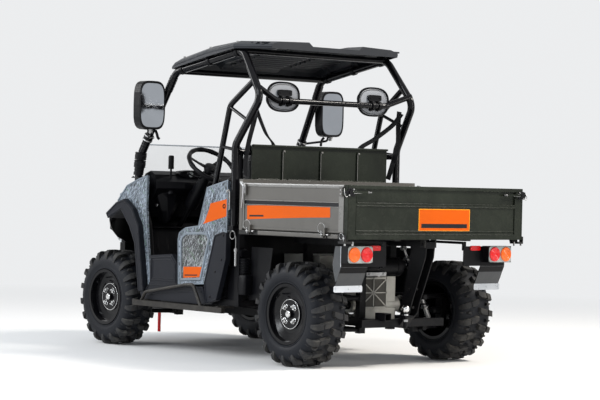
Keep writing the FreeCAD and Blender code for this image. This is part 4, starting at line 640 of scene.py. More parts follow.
def tyre(name, x, centre, width, rim_width, body, node):
    half = width / 2
    rim = rim_width / 2
    hub = (x, centre, HUB_Z)
    form = Form()
    # Across from the middle, radius
    side = [(rim - 0.014, 0.1785), (rim - 0.014, 0.1925), (rim - 0.004, 0.198), (half - 0.010, 0.206),
            (half - 0.003, 0.222), (half - 0.001, 0.240), (half - 0.004, 0.262), (half - 0.011, 0.280),
            (half - 0.022, 0.293), (half - 0.042, 0.302), (half - 0.075, 0.305)]
    profile = [(-a, r) for a, r in side] + [(a, r) for a, r in reversed(side)]
    form.turned(profile, hub, ACROSS, 96, closed=True)
    # A raised rim guard near the bead and a thin line on the sidewall, on both faces
    for face in (-1, 1):
        for r, h, w in ((0.2015, 0.004, 0.006), (0.231, 0.0012, 0.0025)):
            base = half - 0.0115 if r < 0.21 else half - 0.0025
            ring = [(face * (base - 0.002), r - w), (face * (base + h), r - w / 2),
                    (face * (base + h), r + w / 2), (face * (base - 0.002), r + w)]
            form.turned(ring, hub, ACROSS, 96, closed=True)
    form.made(name + "_carcass", TYRE, body, sharp=34, stands_for=(node,))

    def slanted(*corners):
        return [(a, LEAN * (a - half / 2) + b) for a, b in corners]

    # Shoulder lug, from the tread down the sidewall: across and radius, then half its width there
    outer = [(half - 0.058, TIP - 0.001), (half - 0.030, TIP - 0.004), (half - 0.018, TIP - 0.010),
             (half - 0.002, TIP - 0.036), (half - 0.001, TIP - 0.066), (half - 0.006, TIP - 0.074),
             (half - 0.024, TIP - 0.060), (half - 0.050, TIP - 0.036)]
    wide = [0.020, 0.020, 0.019, 0.016, 0.011, 0.009, 0.012, 0.020]
    # Middle block, and between two shoulder lugs an arrow-shaped block and a ridge down the sidewall
    foot = slanted((0.005, -0.019), (half - 0.064, -0.017), (half - 0.064, 0.017), (0.028, 0.021),
                   (0.005, 0.010))
    small = [(half - 0.070, -0.012), (half - 0.036, -0.004), (half - 0.036, 0.004), (half - 0.070, 0.012),
             (half - 0.060, 0.0)]
    ridge = [(half - 0.030, TIP - 0.032), (half - 0.010, TIP - 0.048), (half - 0.004, TIP - 0.070),
             (half - 0.012, TIP - 0.070), (half - 0.026, TIP - 0.044)]
    form = Form()
    step = 2 * math.pi / LUGS
    for row, offset in ((1, 0.0), (-1, 0.5)):
        for i in range(LUGS):
            turn = (i + offset) * step
            between = turn + step / 2
            form.loops([[wheel_point(x, centre, row * a, r, turn, LEAN * (a - half / 2) + end * w)
                         for (a, r), w in zip(outer, wide)] for end in (-1, 1)])
            tread_block(form, x, centre, row, turn, foot, 0.300, TIP - 0.0015)
            tread_block(form, x, centre, row, between, small, 0.296, TIP - 0.010)
            form.loops([[wheel_point(x, centre, row * a, r, between, end * 0.004) for a, r in ridge]
                        for end in (-1, 1)])
    form.made(name, LUG, body, bevel=0.0022, sharp=34, stands_for=(node,))


def wheel_trim(name, x, side, y, rim_width, dish, body):
    """Lug nuts in pairs, the hub's cap and the valve, in the dished rim."""
    face = y + rim_width / 2 - dish
    way = Vector((0, side, 0))
    nuts = Form()
    for pair in range(4):
        for lean in (-NUT_LEAN, NUT_LEAN):
            angle = math.radians(45 + 90 * pair) + lean
            at = Vector((x + NUT_CIRCLE * math.cos(angle), side * (face + 0.0085),
                         HUB_Z + NUT_CIRCLE * math.sin(angle)))
            nuts.bar(at, at + way * 0.004, 0.0125, 16)
            nuts.bar(at + way * 0.004, at + way * 0.016, 0.0100, 6)
            nuts.bar(at + way * 0.016, at + way * 0.023, 0.0085, 12, 0.004)
    nuts.made(name + "_lug_nuts", BRIGHT, body, bevel=0.0006)
    cap = Form()
    centre = Vector((x, side * (face + 0.0225), HUB_Z))
    cap.turned([(0, 0.0225), (0.006, 0.022), (0.010, 0.017), (0.011, 0.004)], centre, way, 24)
    cap.turned([(-0.012, 0.094), (-0.0135, 0.0945), (-0.0135, 0.091), (-0.012, 0.0905)], centre, way, 64,
               closed=True)
    cap.made(name + "_hub_cap", BRIGHT, body, bevel=0.0006)
    valve = Form()
    at = Vector((x + VALVE_REACH * math.cos(VALVE_TURN), side * (y + rim_width / 2 - 0.020),
                 HUB_Z + VALVE_REACH * math.sin(VALVE_TURN)))
    neck = at + way * 0.022 + Vector((-0.012, 0, -0.014))
    valve.bar(at, neck, 0.0045, 10)
    valve.bar(neck, at + way * 0.030 + Vector((-0.015, 0, -0.018)), 0.0055, 10)
    valve.made(name + "_valve", DARK_PLASTIC, body)


for corner, (axle_x, wheel_y, tyre_width, rim_width, dish) in AXLES.items():
    for side in (1, -1):
        label = f"{corner}_{'left' if side > 0 else 'right'}"
        tyre(label + "_tread", axle_x, side * wheel_y, tyre_width, rim_width, label + "_wheel",
             label + "_tyre")
        wheel_trim(label, axle_x, side, wheel_y, rim_width, dish, label + "_wheel")


# Tail lamps, reflectors, guards and their aluminium bars

GUARD_X = -1.402
LAMP_X = GUARD_X - 0.060
LAMP_Y = 0.597
LAMP_Z = 0.722
LENS_SHIFT = 0.050
LENS_RADIUS = 0.0465
REFLECTOR_Y = 0.430
BAR_X = GUARD_X + 0.0555


def lens(shift):
    """A domed round lens with fine rings, to one side of the lamp's middle."""
    profile = [(0.0, LENS_RADIUS), (-0.006, LENS_RADIUS), (-0.0085, LENS_RADIUS - 0.003)]
    for i in range(7):
        r = LENS_RADIUS - 0.006 - i * 0.006
        depth = 0.0098 - 0.00035 * i
        profile += [(-depth + 0.0005, r + 0.0026), (-depth - 0.0006, r), (-depth + 0.0005, r - 0.0026)]
    profile.append((-0.0115, 0.001))
    return Form().turned(profile, (LAMP_X - 0.0005, LAMP_Y + shift, LAMP_Z - 0.001), (1, 0, 0), 48)


back_plate, reflectors = Form(), Form()
outline = [(LAMP_Y + a, LAMP_Z - 0.0015 + b) for a, b in soft_outline(0.0995, 0.0515, 9)]
back_plate.prism(outline, "x", LAMP_X - 0.0025, LAMP_X - 0.0002)
for spot in (-0.094, 0.094):
    for height in (-0.044, 0.041):
        bolt(back_plate, (LAMP_X - 0.0025, LAMP_Y + spot, LAMP_Z + height), (-1, 0, 0), 0.003)
strip = [(REFLECTOR_Y + a, 0.7585 + b) for a, b in soft_outline(0.044, 0.0155, 7)]
reflectors.prism(strip, "x", GUARD_X - 0.0085, GUARD_X - 0.0004)
for i in range(-3, 4):
    y = REFLECTOR_Y + i * 0.012
    reflectors.block((GUARD_X - 0.0092, y - 0.0035, 0.747), (GUARD_X - 0.0083, y + 0.0035, 0.770))
lens(-LENS_SHIFT).made("red_lamp_lenses", RED_LENS, both=True, stands_for=("tail_lamps",))
lens(LENS_SHIFT).made("amber_lamp_lenses", AMBER_LENS, both=True, stands_for=("tail_lamps",))
back_plate.made("lamp_back_plates", PLATE_GREY, both=True, bevel=0.0006)
reflectors.made("red_reflectors", RED_LENS, both=True, bevel=0.0008, stands_for=("tail_lamps",))

bars = Form()
bars.prism([(0.478, 0.492), (0.484, 0.486), (0.702, 0.486), (0.708, 0.492), (0.708, 0.520), (0.702, 0.526),
            (0.484, 0.526), (0.478, 0.520)], "x", BAR_X - 0.005, BAR_X - 0.0005)
for y in (0.500, 0.590, 0.690):
    bolt(bars, (BAR_X - 0.005, y, 0.507), (-1, 0, 0), 0.0045)
bars.made("guard_aluminium_bars", ALUMINIUM_AND_EDGE_HIGHLIGHT, both=True, bevel=0.0012)


# Tailgate: folded rims, pressed ridges, a plain orange film, and a latch with a lever at each top corner

GATE_X = -1.508
GATE_HALF = 0.7465
GATE_TOP = 1.144
FIELD_HALF = 0.674


def ridge_line(form, low, high, centre, depth, height):
    """A pressed ridge with sloping flanks along a panel's face."""
    x, z = centre
    outline = [(x, z - height), (x - depth, z - height * 0.35), (x - depth, z + height * 0.35),
               (x, z + height)]
    form.prism(outline, "y", low, high)


gate = Form()
gate.prism([(GATE_X - 0.0035, GATE_TOP - 0.020), (GATE_X - 0.0005, GATE_TOP - 0.022),
            (GATE_X + 0.004, GATE_TOP - 0.001), (GATE_X + 0.002, GATE_TOP + 0.0015),
            (GATE_X - 0.0015, GATE_TOP + 0.0005)], "y", -GATE_HALF + 0.002, GATE_HALF - 0.002)
for z, depth in ((1.0365, 0.0032), (1.0195, 0.0032), (0.847, 0.003)):
    ridge_line(gate, -FIELD_HALF, FIELD_HALF, (GATE_X + 0.0005, z), depth, 0.0045)
ridge_line(gate, -FIELD_HALF, FIELD_HALF, (GATE_X + 0.0045, 0.866), 0.004, 0.005)
for y in (-0.6765, 0.6765):
    for low, high in ((0.846, 1.021), (1.035, 1.119)):
        gate.block((GATE_X - 0.0025, y - 0.0022, low), (GATE_X + 0.004, y + 0.0022, high))
    edge = math.copysign(0.738, y)
    gate.block((GATE_X - 0.0015, edge - 0.003, 0.820), (GATE_X + 0.001, edge + 0.003, 1.122))
gate.made("tailgate_folds", GATE_PAINT, "tailgate", bevel=0.0009)

part = Form().block((GATE_X + 0.0031, -0.275, 0.872), (GATE_X + 0.0038, 0.155, 1.003))
part.made("tailgate_orange_film", ORANGE, "tailgate", bevel=0.0002)
part = Form().block((GATE_X + 0.0026, -0.255, 0.888), (GATE_X + 0.0030, 0.137, 0.914))
part.made("tailgate_black_band", BLACK_FILM, "tailgate", bevel=0.0001)
rim_line = Form()
for y0, z0, y1, z1 in ((-0.279, 0.868, 0.159, 0.872), (-0.279, 1.003, 0.159, 1.007),
                       (-0.279, 0.872, -0.275, 1.003), (0.155, 0.872, 0.159, 1.003)):
    rim_line.block((GATE_X + 0.0032, y0, z0), (GATE_X + 0.0037, y1, z1))
rim_line.made("tailgate_film_border", YELLOW, "tailgate")

latch, bright, rubber = Form(), Form(), Form()
latch.prism([(0.700, 1.076), (0.752, 1.076), (0.757, 1.084), (0.757, 1.118), (0.748, 1.126), (0.706, 1.126),
             (0.698, 1.116)], "x", GATE_X - 0.0115, GATE_X - 0.0005)
latch.bar((GATE_X - 0.011, 0.728, 1.101), (GATE_X - 0.0165, 0.728, 1.101), 0.019, 20)
latch.bar((GATE_X - 0.013, 0.752, 1.101), (GATE_X + 0.020, 0.758, 1.101), 0.012, 16)
latch.block((GATE_X - 0.010, 0.748, 1.086), (GATE_X + 0.026, 0.7605, 1.116))
bright.prism([(0.566, 1.0985), (0.566, 1.1045), (0.70, 1.1085), (0.722, 1.1085), (0.722, 1.0935),
              (0.70, 1.0935)], "x", GATE_X - 0.0165, GATE_X - 0.0125)
bright.hose([(GATE_X - 0.004, 0.744, 1.086), (GATE_X - 0.0115, 0.768, 1.072), (GATE_X - 0.004, 0.778, 1.098),
             (GATE_X + 0.010, 0.766, 1.122), (GATE_X + 0.018, 0.756, 1.106)], 0.0022, 8)
for at in ((GATE_X - 0.0120, 0.728, 1.101), (GATE_X - 0.0115, 0.745, 1.083), (GATE_X - 0.0115, 0.710, 1.118)):
    bolt(bright, at, (-1, 0, 0), 0.0042)
rubber.bar((GATE_X - 0.0106, 0.566, 1.1015), (GATE_X - 0.0106, 0.600, 1.1020), 0.0062, 14)
latch.made("tailgate_latches", FRAME_PAINT, "tailgate", both=True, bevel=0.0012)
bright.made("tailgate_latch_levers", STEEL, "tailgate", both=True, bevel=0.0007)
rubber.made("tailgate_lever_grips", DARK_PLASTIC, "tailgate", both=True)


# Bed: a light channel along each side of the floor, hinge pins with wire rings, corner parts

PIN_Y = 0.757
PIN_Z = 0.838
channel, pins = Form(), Form()
channel.prism([(0.7462, 0.817), (0.7490, 0.819), (0.7498, 0.8245), (0.7498, 0.8385), (0.7490, 0.8425),
               (0.7462, 0.8430)], "x", -1.425, -0.640)
for x in (-1.310, -0.570):
    pins.bar((x - 0.038, PIN_Y, PIN_Z), (x + 0.040, PIN_Y, PIN_Z), 0.0046, 12)
    pins.bar((x - 0.040, PIN_Y, PIN_Z), (x - 0.034, PIN_Y, PIN_Z), 0.0085, 14)
    # Lynch pin through the hinge pin, and its wire ring lying against the board
    pins.bar((x + 0.032, PIN_Y, 0.824), (x + 0.032, PIN_Y, 0.856), 0.0030, 10)
    pins.ball((x + 0.032, PIN_Y, 0.857), 0.0058, 12)
    ring = [(x + 0.030 + 0.034 * math.cos(a), 0.7605, 0.878 + 0.030 * math.sin(a))
            for a in (math.radians(-80 + 22 * i) for i in range(16))]
    pins.hose(ring, 0.0016, 6)
channel.made("bed_side_channels", BED_PAINT, "bed", both=True, bevel=0.0008)
pins.made("board_hinge_pins", STEEL, "bed", both=True)


# Side boards: top rail, posts and the lips by the groove in a lighter grey as painted highlight, a black
# strip in the groove as painted shade, tapered orange film, rear post and latches

def board_parts(side, body, label):
    face = side * 0.7465
    film = Form()
    shape = [(-0.522, 0.912), (-0.519, 1.000), (-0.640, 1.004), (-1.341, 1.008), (-1.344, 0.944),
             (-1.10, 0.937), (-0.80, 0.925)]
    film.prism(shape, "y", side * 0.7437, side * 0.7443)
    film.made(label + "_board_orange_film", ORANGE, body)
    part = Form().prism([(-0.545, 0.930), (-0.545, 0.941), (-0.690, 0.944), (-0.690, 0.933)], "y",
                        side * 0.7442, side * 0.7446)
    part.made(label + "_board_black_band", BLACK_FILM, body)
    # A black strip set inside the groove: painted shade
    part = Form().prism([(-1.422, 1.0115), (-1.422, 1.0325), (-0.492, 1.0325), (-0.492, 1.0115)], "y",
                        side * 0.7387, side * 0.7392)
    part.made(label + "_board_groove_painted_shade", BLACK_FILM, body)
    # Rail, groove lips and posts in the lighter grey: painted highlight
    rail = Form()
    rail.prism([(face, 1.1215), (side * 0.7490, 1.1245), (side * 0.7494, 1.1385), (side * 0.7470, 1.1440),
                (face - side * 0.004, 1.1450), (face - side * 0.008, 1.1442)], "x", -1.471, -0.482)
    low, high = face - side * 0.003, face + side * 0.0012
    for heights in ((1.0335, 1.0345, 1.0375, 1.0390), (1.0055, 1.0070, 1.0095, 1.0102)):
        rail.prism(list(zip((low, high, high, low), heights)), "x", -1.424, -0.494)
    low = face - side * 0.001
    for rear, crease, front, out in ((-1.472, -1.428, -1.425, 0.0022), (-0.492, -0.480, -0.480, 0.0018)):
        high = face + side * out
        rail.prism([(rear, low), (rear, high), (crease, high), (front, low)], "z", 0.858, 1.121)
    rail.made(label + "_board_folds", PAINTED_HIGHLIGHT_GREY, body, bevel=0.0007)
    keeper = Form()
    for x, z in ((-1.459, 1.112), (-1.459, 1.090)):
        bolt(keeper, (x, side * 0.7625, z), (0, side, 0), 0.0045)
    inner, outer = sorted((side * 0.7595, side * 0.7625))
    keeper.block((-0.519, inner, 1.078), (-0.486, outer, 1.132))
    keeper.bar((-0.502, side * 0.764, 1.122), (-0.478, side * 0.768, 1.150), 0.0065, 12)
    keeper.bar((-0.506, side * 0.764, 1.118), (-0.490, side * 0.767, 0.985), 0.0055, 12, 0.0042)
    keeper.hose([(-0.497, side * 0.766, 1.100), (-0.520, side * 0.772, 1.112), (-0.512, side * 0.770, 1.142),
                 (-0.486, side * 0.768, 1.150), (-0.470, side * 0.766, 1.136)], 0.0024, 8)
    for z in (1.085, 1.102):
        bolt(keeper, (-0.502, side * 0.7625, z), (0, side, 0), 0.0045)
    keeper.made(label + "_board_latch_parts", STEEL, body, bevel=0.0006)


board_parts(1, "left_board", "left")
board_parts(-1, "right_board", "right")

corners = Form()
for y in (0.690, 0.7515):
    corners.block((-1.4995, y - 0.004, 0.776), (-1.4905, y + 0.004, 0.802))
corners.bar((-1.493, 0.7505, 0.822), (-1.493, 0.763, 0.822), 0.0085, 14)
corners.bar((-1.493, 0.7605, 0.806), (-1.493, 0.7605, 0.838), 0.0026, 8)
corners.hose([(-1.493, 0.7625, 0.838), (-1.476, 0.765, 0.852), (-1.458, 0.765, 0.842), (-1.460, 0.765, 0.822),
              (-1.478, 0.764, 0.812)], 0.0018, 6)
corners.made("tailgate_pin_heads", STEEL, "bed", both=True, bevel=0.0005)

ribs = Form()
for i in range(13):
    y = -0.60 + i * 0.10
    ribs.prism([(y - 0.016, 0.8478), (y - 0.010, 0.8515), (y + 0.010, 0.8515), (y + 0.016, 0.8478)], "x",
               -1.455, -0.500)
ribs.made("bed_floor_ribs", BED_FLOOR, "bed", bevel=0.0008)

wall = Form()
for y in (-0.50, -0.17, 0.17, 0.50):
    for face, crest in ((-0.4725, -0.4790), (-0.4435, -0.4370)):
        wall.prism([(face, 0.875), (crest, 0.890), (crest, 1.105), (face, 1.120)], "y", y - 0.012, y + 0.012)
wall.block((-0.4735, -0.7455, 1.1655), (-0.4370, 0.7455, 1.1685))
wall.made("front_wall_ribs", BED_PAINT, "bed", bevel=0.001)


# Cab panel: folded ledge, pressed ribs with rounded tops and a strip down one flank in a lighter grey,
# painted highlight

PANEL_X = -0.357
PANEL_RIBS = (-0.325, 0.0, 0.325)
cab = Form()
for y in PANEL_RIBS:
    arc = [(y + 0.013 * math.cos(a), 1.352 + 0.013 * math.sin(a))
           for a in (math.pi * i / 8 for i in range(9))]
    cab.prism(arc + [(y - 0.013, 0.872), (y + 0.013, 0.872)], "x", PANEL_X - 0.0105, PANEL_X - 0.002)
cab.prism([(PANEL_X - 0.0095, 1.159), (PANEL_X - 0.028, 1.163), (PANEL_X - 0.028, 1.168),
           (PANEL_X - 0.0095, 1.176)], "y", -0.560, 0.560)
for y in (-0.55, -0.30, 0.02, 0.30, 0.55):
    bolt(cab, (PANEL_X - 0.018, y, 1.172), (0, 0, 1), 0.005)
cab.prism([(PANEL_X + 0.004, 1.3955), (PANEL_X - 0.0065, 1.3975), (PANEL_X - 0.0165, 1.3955),
           (PANEL_X - 0.0165, 1.3840), (PANEL_X - 0.0145, 1.3840), (PANEL_X - 0.0140, 1.3930),
           (PANEL_X - 0.0060, 1.3945)], "y", -0.584, 0.584)
cab.made("cab_panel_folds", GATE_PAINT, bevel=0.0012)
# Rib tops and a strip down one flank of each rib in the lighter grey: painted highlight
tips = Form()
for y in PANEL_RIBS:
    tips.ball((PANEL_X - 0.0085, y, 1.3555), 0.0095, 14)
for y in PANEL_RIBS:
    tips.block((PANEL_X - 0.0118, y + 0.0085, 0.880), (PANEL_X - 0.0090, y + 0.0125, 1.352))
tips.made("cab_panel_rib_tips", PAINTED_HIGHLIGHT_GREY, bevel=0.0006)


# Cage fittings: sleeves on the pillars, screen clamps and foot plates

PILLAR = [Vector(p) for p in ((0.770, 0.695, 1.162), (0.750, 0.690, 1.320), (0.425, 0.640, 1.885))]
HOOP = [Vector(p) for p in ((-0.328, 0.700, 1.000), (-0.328, 0.700, 1.200))]
TUBE_RADIUS = 0.0215
CLAMPS_AT = (0.20, 0.66)


def on_line(a, b, share):
    return a + (b - a) * share, (b - a).normalized()


def sleeve(form, at, way, radius, length, grooves=0):
    """A collar round a tube, with rings pressed into it."""
    half = length / 2
    profile = [(-half, radius - 0.003), (-half + 0.003, radius)]
    for i in range(grooves):
        middle = -half + length * (i + 0.5) / grooves
        profile += [(middle - 0.004, radius), (middle - 0.002, radius - 0.002),
                    (middle + 0.002, radius - 0.002), (middle + 0.004, radius)]
    profile += [(half - 0.003, radius), (half, radius - 0.003), (half, TUBE_RADIUS), (-half, TUBE_RADIUS)]
    form.turned(profile, at, way, 32, closed=True)


sleeves, clamps, feet = Form(), Form(), Form()
for line, share, length, grooves in ((PILLAR[1:], 0.10, 0.085, 4), (PILLAR[1:], 0.86, 0.110, 5),
                                     (HOOP, 0.2, 0.090, 4)):
    sleeve(sleeves, *on_line(*line, share), 0.0285, length, grooves)
sleeves.made("cage_sleeves", TUBE, both=True)

for share in CLAMPS_AT:
    sleeve(clamps, *on_line(*PILLAR[:2], share), 0.0325, 0.020)
for share in CLAMPS_AT:
    low, way = on_line(*PILLAR[:2], share)
    clamps.block(low + Vector((0.020, -0.012, -0.010)), low + Vector((0.046, 0.012, 0.010)))
    for out in (-1, 1):
        bolt(clamps, low + Vector((0.033, out * 0.012, 0)), (0, out, 0), 0.0055)
clamps.made("screen_clamps", FRAME_PAINT, both=True, bevel=0.001)

feet.prism([(0.737, 0.666), (0.803, 0.666), (0.803, 0.7275), (0.737, 0.7275)], "z", 1.1625, 1.1695)
feet.prism([(-0.360, 0.668), (-0.296, 0.668), (-0.296, 0.732), (-0.360, 0.732)], "z", 0.8580, 0.8645)
for x, y, z in ((0.745, 0.718, 1.1695), (0.795, 0.718, 1.1695), (0.745, 0.674, 1.1695),
                (0.795, 0.674, 1.1695), (-0.352, 0.724, 0.8645), (-0.304, 0.724, 0.8645),
                (-0.352, 0.676, 0.8645), (-0.304, 0.676, 0.8645)):
    bolt(feet, (x, y, z), (0, 0, 1), 0.006)
feet.made("cage_foot_plates", TUBE, both=True, bevel=0.0012)

# Perforated bracket on the inner tube, belts and buckles

bracket = Form()
bracket.prism([(-0.075, 0.995), (-0.030, 0.995), (-0.024, 1.005), (-0.030, 1.075), (-0.050, 1.082),
               (-0.080, 1.070)], "y", 0.6785, 0.6825)
for z in (1.010, 1.034, 1.058):
    bracket.turned([(0.0, 0.0095), (0.0022, 0.0090), (0.0022, 0.0055), (0.0, 0.0055)], (-0.0535, 0.6822, z),
                   ACROSS, 18, closed=True)
bracket.made("inner_tube_brackets", FRAME_PAINT, both=True, bevel=0.0008)

WEB_HALF = 0.023
WEB_THIN = 0.0011
belts, buckles = Form(), Form()
for y in (0.350, -0.350):
    lean = math.copysign(1.0, y)
    shoulder = [(-0.315, y + 0.205 * lean, 1.362), (-0.290, y + 0.185 * lean, 1.378),
                (-0.2450, y + 0.150 * lean, 1.335), (-0.212, y + 0.055 * lean, 1.180),
                (-0.178, y - 0.070 * lean, 1.020), (-0.150, y - 0.175 * lean, 0.945)]
    belts.hose(shoulder, WEB_HALF, flat=WEB_THIN, up=(1, 0, 0))
    lap = [(-0.180, y + 0.215 * lean, 0.905), (-0.150, y + 0.12 * lean, 0.938), (-0.120, y, 0.946),
           (-0.150, y - 0.165 * lean, 0.944)]
    belts.hose(lap, WEB_HALF, flat=WEB_THIN, up=(1, 0, 0))
    buckles.loops([[(-0.165 + a, y - 0.188 * lean + b, z) for a, b in soft_outline(0.022, 0.033, 5, 24)]
                   for z in (0.935, 0.957)])
    buckles.loops([[(-0.322 + a, y + 0.205 * lean + b, z) for a, b in soft_outline(0.020, 0.034, 5, 24)]
                   for z in (1.340, 1.384)])
belts.made("seat_belts", WEBBING)
buckles.made("belt_buckles", DARK_PLASTIC, bevel=0.003)

hang = Form()
for y in (0.640, -0.640):
    for line in (((-0.440, 0.965, 1.655), (-0.425, 0.975, 1.560), (-0.400, 1.01, 1.420),
                  (-0.360, 1.00, 1.300), (-0.335, 0.97, 1.190)),
                 ((-0.445, 0.99, 1.640), (-0.420, 0.90, 1.560), (-0.360, 0.74, 1.465), (-0.322, 0.60, 1.405),
                  (-0.300, 0.56, 1.350))):
        hang.hose([(x, y * share, z) for x, share, z in line], WEB_HALF, flat=WEB_THIN, up=(0, 1, 0))
hang.made("belt_uppers", WEBBING)

# Roof: ribs under the shell, mounts round the rails, bolts on top and a bead along the edge

# X, edge height, half width, crown
ROOF_ROWS = [(-0.490, 2.047, 0.545, 0.027), (-0.260, 2.047, 0.682, 0.034), (0.030, 2.016, 0.682, 0.042),
             (0.392, 1.946, 0.676, 0.046), (0.452, 1.925, 0.656, 0.030)]


def roof_at(x):
    """Edge height, half width and crown of the roof at a place along it."""
    for (x0, *low), (x1, *high) in zip(ROOF_ROWS, ROOF_ROWS[1:]):
        if x <= x1:
            share = (x - x0) / (x1 - x0)
            return [a + (b - a) * share for a, b in zip(low, high)]
    return ROOF_ROWS[-1][1:]


under, pads, crown = Form(), Form(), Form()
for i in range(17):
    x = -0.440 + i * 0.051
    edge, _, rise = roof_at(x)
    for y in (-0.46, 0.0, 0.46):
        wide = 0.14 if y else 0.21
        top = edge + (rise * 0.66 if y else rise - 0.032)
        under.prism([(x - 0.010, top - 0.004), (x - 0.006, top - 0.015), (x + 0.006, top - 0.015),
                     (x + 0.010, top - 0.004)], "y", y - wide, y + wide)
under.made("roof_under_ribs", ROOF, bevel=0.001)
HOOP_TOP = Vector((-0.293, 0.623, 2.010))
for x in (-0.230, 0.060, 0.350):
    share = (x - HOOP_TOP.x) / (PILLAR[2].x - HOOP_TOP.x)
    at, way = on_line(HOOP_TOP, PILLAR[2], share)
    sleeve(pads, at, way, 0.0315, 0.034)
    pads.block(at + Vector((-0.017, -0.020, 0.018)), at + Vector((0.017, 0.020, 0.040)))
    edge, _, rise = roof_at(x)
    bolt(crown, (x, 0.628, edge + rise * 0.70 - 0.004), (0, 0.2, 1), 0.008)
pads.made("roof_mounts", DARK_PLASTIC, both=True, bevel=0.0015)
crown.made("roof_bolts", STEEL, both=True)
rims = Form()
for ends in zip(ROOF_ROWS, ROOF_ROWS[1:]):
    rims.loops([[(x, h - 0.0005, z - 0.0010), (x, h + 0.0030, z - 0.0060), (x, h + 0.0030, z - 0.0160),
                 (x, h - 0.0005, z - 0.0200)] for x, z, h, _ in ends])
rims.made("roof_edge_beads", ROOF, both=True, bevel=0.001)


# Headrests: plates with a rolled edge and a line round them, and the straps that hold them

REST_FRONT = -0.453 + 0.019 + 0.014
REST_Y = 0.392
REST_Z = 1.712
REST_HALF = (0.140, 0.100)
REST_FULLNESS = 2.6


def plate_rows(half, stations):
    return soft_rows((REST_Y, REST_Z), half, REST_FULLNESS,
                     [(REST_FRONT + x, share) for x, share in stations], 56)


part = Form().loops(plate_rows(REST_HALF, [(-0.006, 0.91), (-0.0120, 0.70), (-0.0125, 0.30)]))
part.made("headrest_plates", SILVER, both=True, stands_for=("headrest_shells",))
part = Form().loops(plate_rows(REST_HALF, [(0, 0.90), (0, 0.985), (-0.003, 1.0), (-0.009, 0.995),
                                           (-0.0135, 0.965), (-0.0135, 0.935), (-0.0100, 0.895)]),
                    closed_ends=False)
part.made("headrest_rims", DARK_PLASTIC, both=True, stands_for=("headrest_shells",))
straps = Form()
for y in (0.362, 0.420):
    straps.hose([(-0.436, y, 1.655), (-0.462, y, 1.660), (-0.4775, y, 1.685), (-0.462, y, 1.709),
                 (-0.436, y, 1.714)], 0.013, flat=0.002, up=(1, 0, 0))
    straps.block((-0.4365, y - 0.014, 1.650), (-0.4325, y + 0.014, 1.720))
    for z in (1.7165, 1.6540):
        bolt(straps, (-0.4365, y, z), (-1, 0, 0), 0.005)
straps.made("headrest_straps", DARK_PLASTIC, both=True, bevel=0.0008, stands_for=("headrest_shells",))
trim = Form()
row, = plate_rows((0.121, 0.082), [(-0.0132, 1.0)])
trim.hose(row + row[:1], 0.0016, 6)
trim.made("headrest_plate_lines", DARK_PLASTIC, both=True)


# Soft pieces: cushions, backs and headrest pads, swollen by cloth and sewn

SWELL_ROOM = 0.010
VOXEL = 0.008
SWELL_FRAMES = 16
OVERHANG = 0.006


def soft_block(form, low, high, steps=14):
    """A crowned closed form between two corners, drawn in along its edges."""
    low, high = Vector(low), Vector(high)
    middle, half = (low + high) / 2, (high - low) / 2
    cube = bmesh.ops.create_cube(form.mesh, size=2.0)
    edges = list({e for v in cube["verts"] for e in v.link_edges})
    bmesh.ops.subdivide_edges(form.mesh, edges=edges, cuts=steps, use_grid_fill=True)
    for vert in form.mesh.verts:
        p = vert.co
        pull = 1 - 0.5 * (abs(p.x * p.y) ** 6 + abs(p.y * p.z) ** 6 + abs(p.x * p.z) ** 6) * 0.10
        vert.co = Vector(middle[k] + p[k] * half[k] * pull for k in range(3))
    return form


def swollen(name, low, high, node, axis, cap, pressure=4.0, seams=()):
    """A cushion: starts inside its space, swells as cloth does, then gets its sewn channels."""
    form = Form()
    soft_block(form, [c + SWELL_ROOM for c in low], [c - SWELL_ROOM for c in high])
    thing = form.made(name, VINYL, sharp=180, stands_for=(node,))
    remesh = thing.modifiers.new("even_mesh", "REMESH")
    remesh.mode = "VOXEL"
    remesh.voxel_size = VOXEL
    remesh.use_smooth_shade = True
    settle(thing)
    rest = [v.co.copy() for v in thing.data.vertices]
    cloth = thing.modifiers.new("swell", "CLOTH")
    cloth.settings.use_pressure = True
    cloth.settings.uniform_pressure_force = pressure
    cloth.settings.effector_weights.gravity = 0
    cloth.settings.quality = 4
    cloth.point_cache.frame_start = 1
    cloth.point_cache.frame_end = SWELL_FRAMES
    for moment in range(1, SWELL_FRAMES + 1):
        scene.frame_set(moment)
    settle(thing)
    for vert, start in zip(thing.data.vertices, rest):
        way = vert.co - start
        if way.length > cap:
            vert.co = start + way * (cap / way.length)
    scene.frame_set(1)
    for vert in thing.data.vertices:
        vert.co = Vector(min(max(vert.co[k], low[k] - OVERHANG), high[k] + OVERHANG) for k in range(3))
    sew(thing, seams, axis)
    smooth = thing.modifiers.new("smooth_surface", "SUBSURF")
    smooth.levels = smooth.render_levels = 1
    thing.data.polygons.foreach_set("use_smooth", [True] * len(thing.data.polygons))
    return thing


def settle(thing):
    """Applies the piece's modifiers to its mesh."""
    graph = bpy.context.evaluated_depsgraph_get()
    fresh = bpy.data.meshes.new_from_object(thing.evaluated_get(graph))
    thing.modifiers.clear()
    thing.data = fresh


def sew(thing, seams, axis):
    """Presses narrow channels into the face that looks along an axis.

    Each seam is the axis that it crosses, its place there, its depth, its half width and the face's side.
    """
    for vert in thing.data.vertices:
        for across, place, depth, wide, side in seams:
            gap = abs(vert.co[across] - place) / wide
            if gap < 1:
                vert.co[axis] -= side * depth * (1 - gap * gap) ** 2


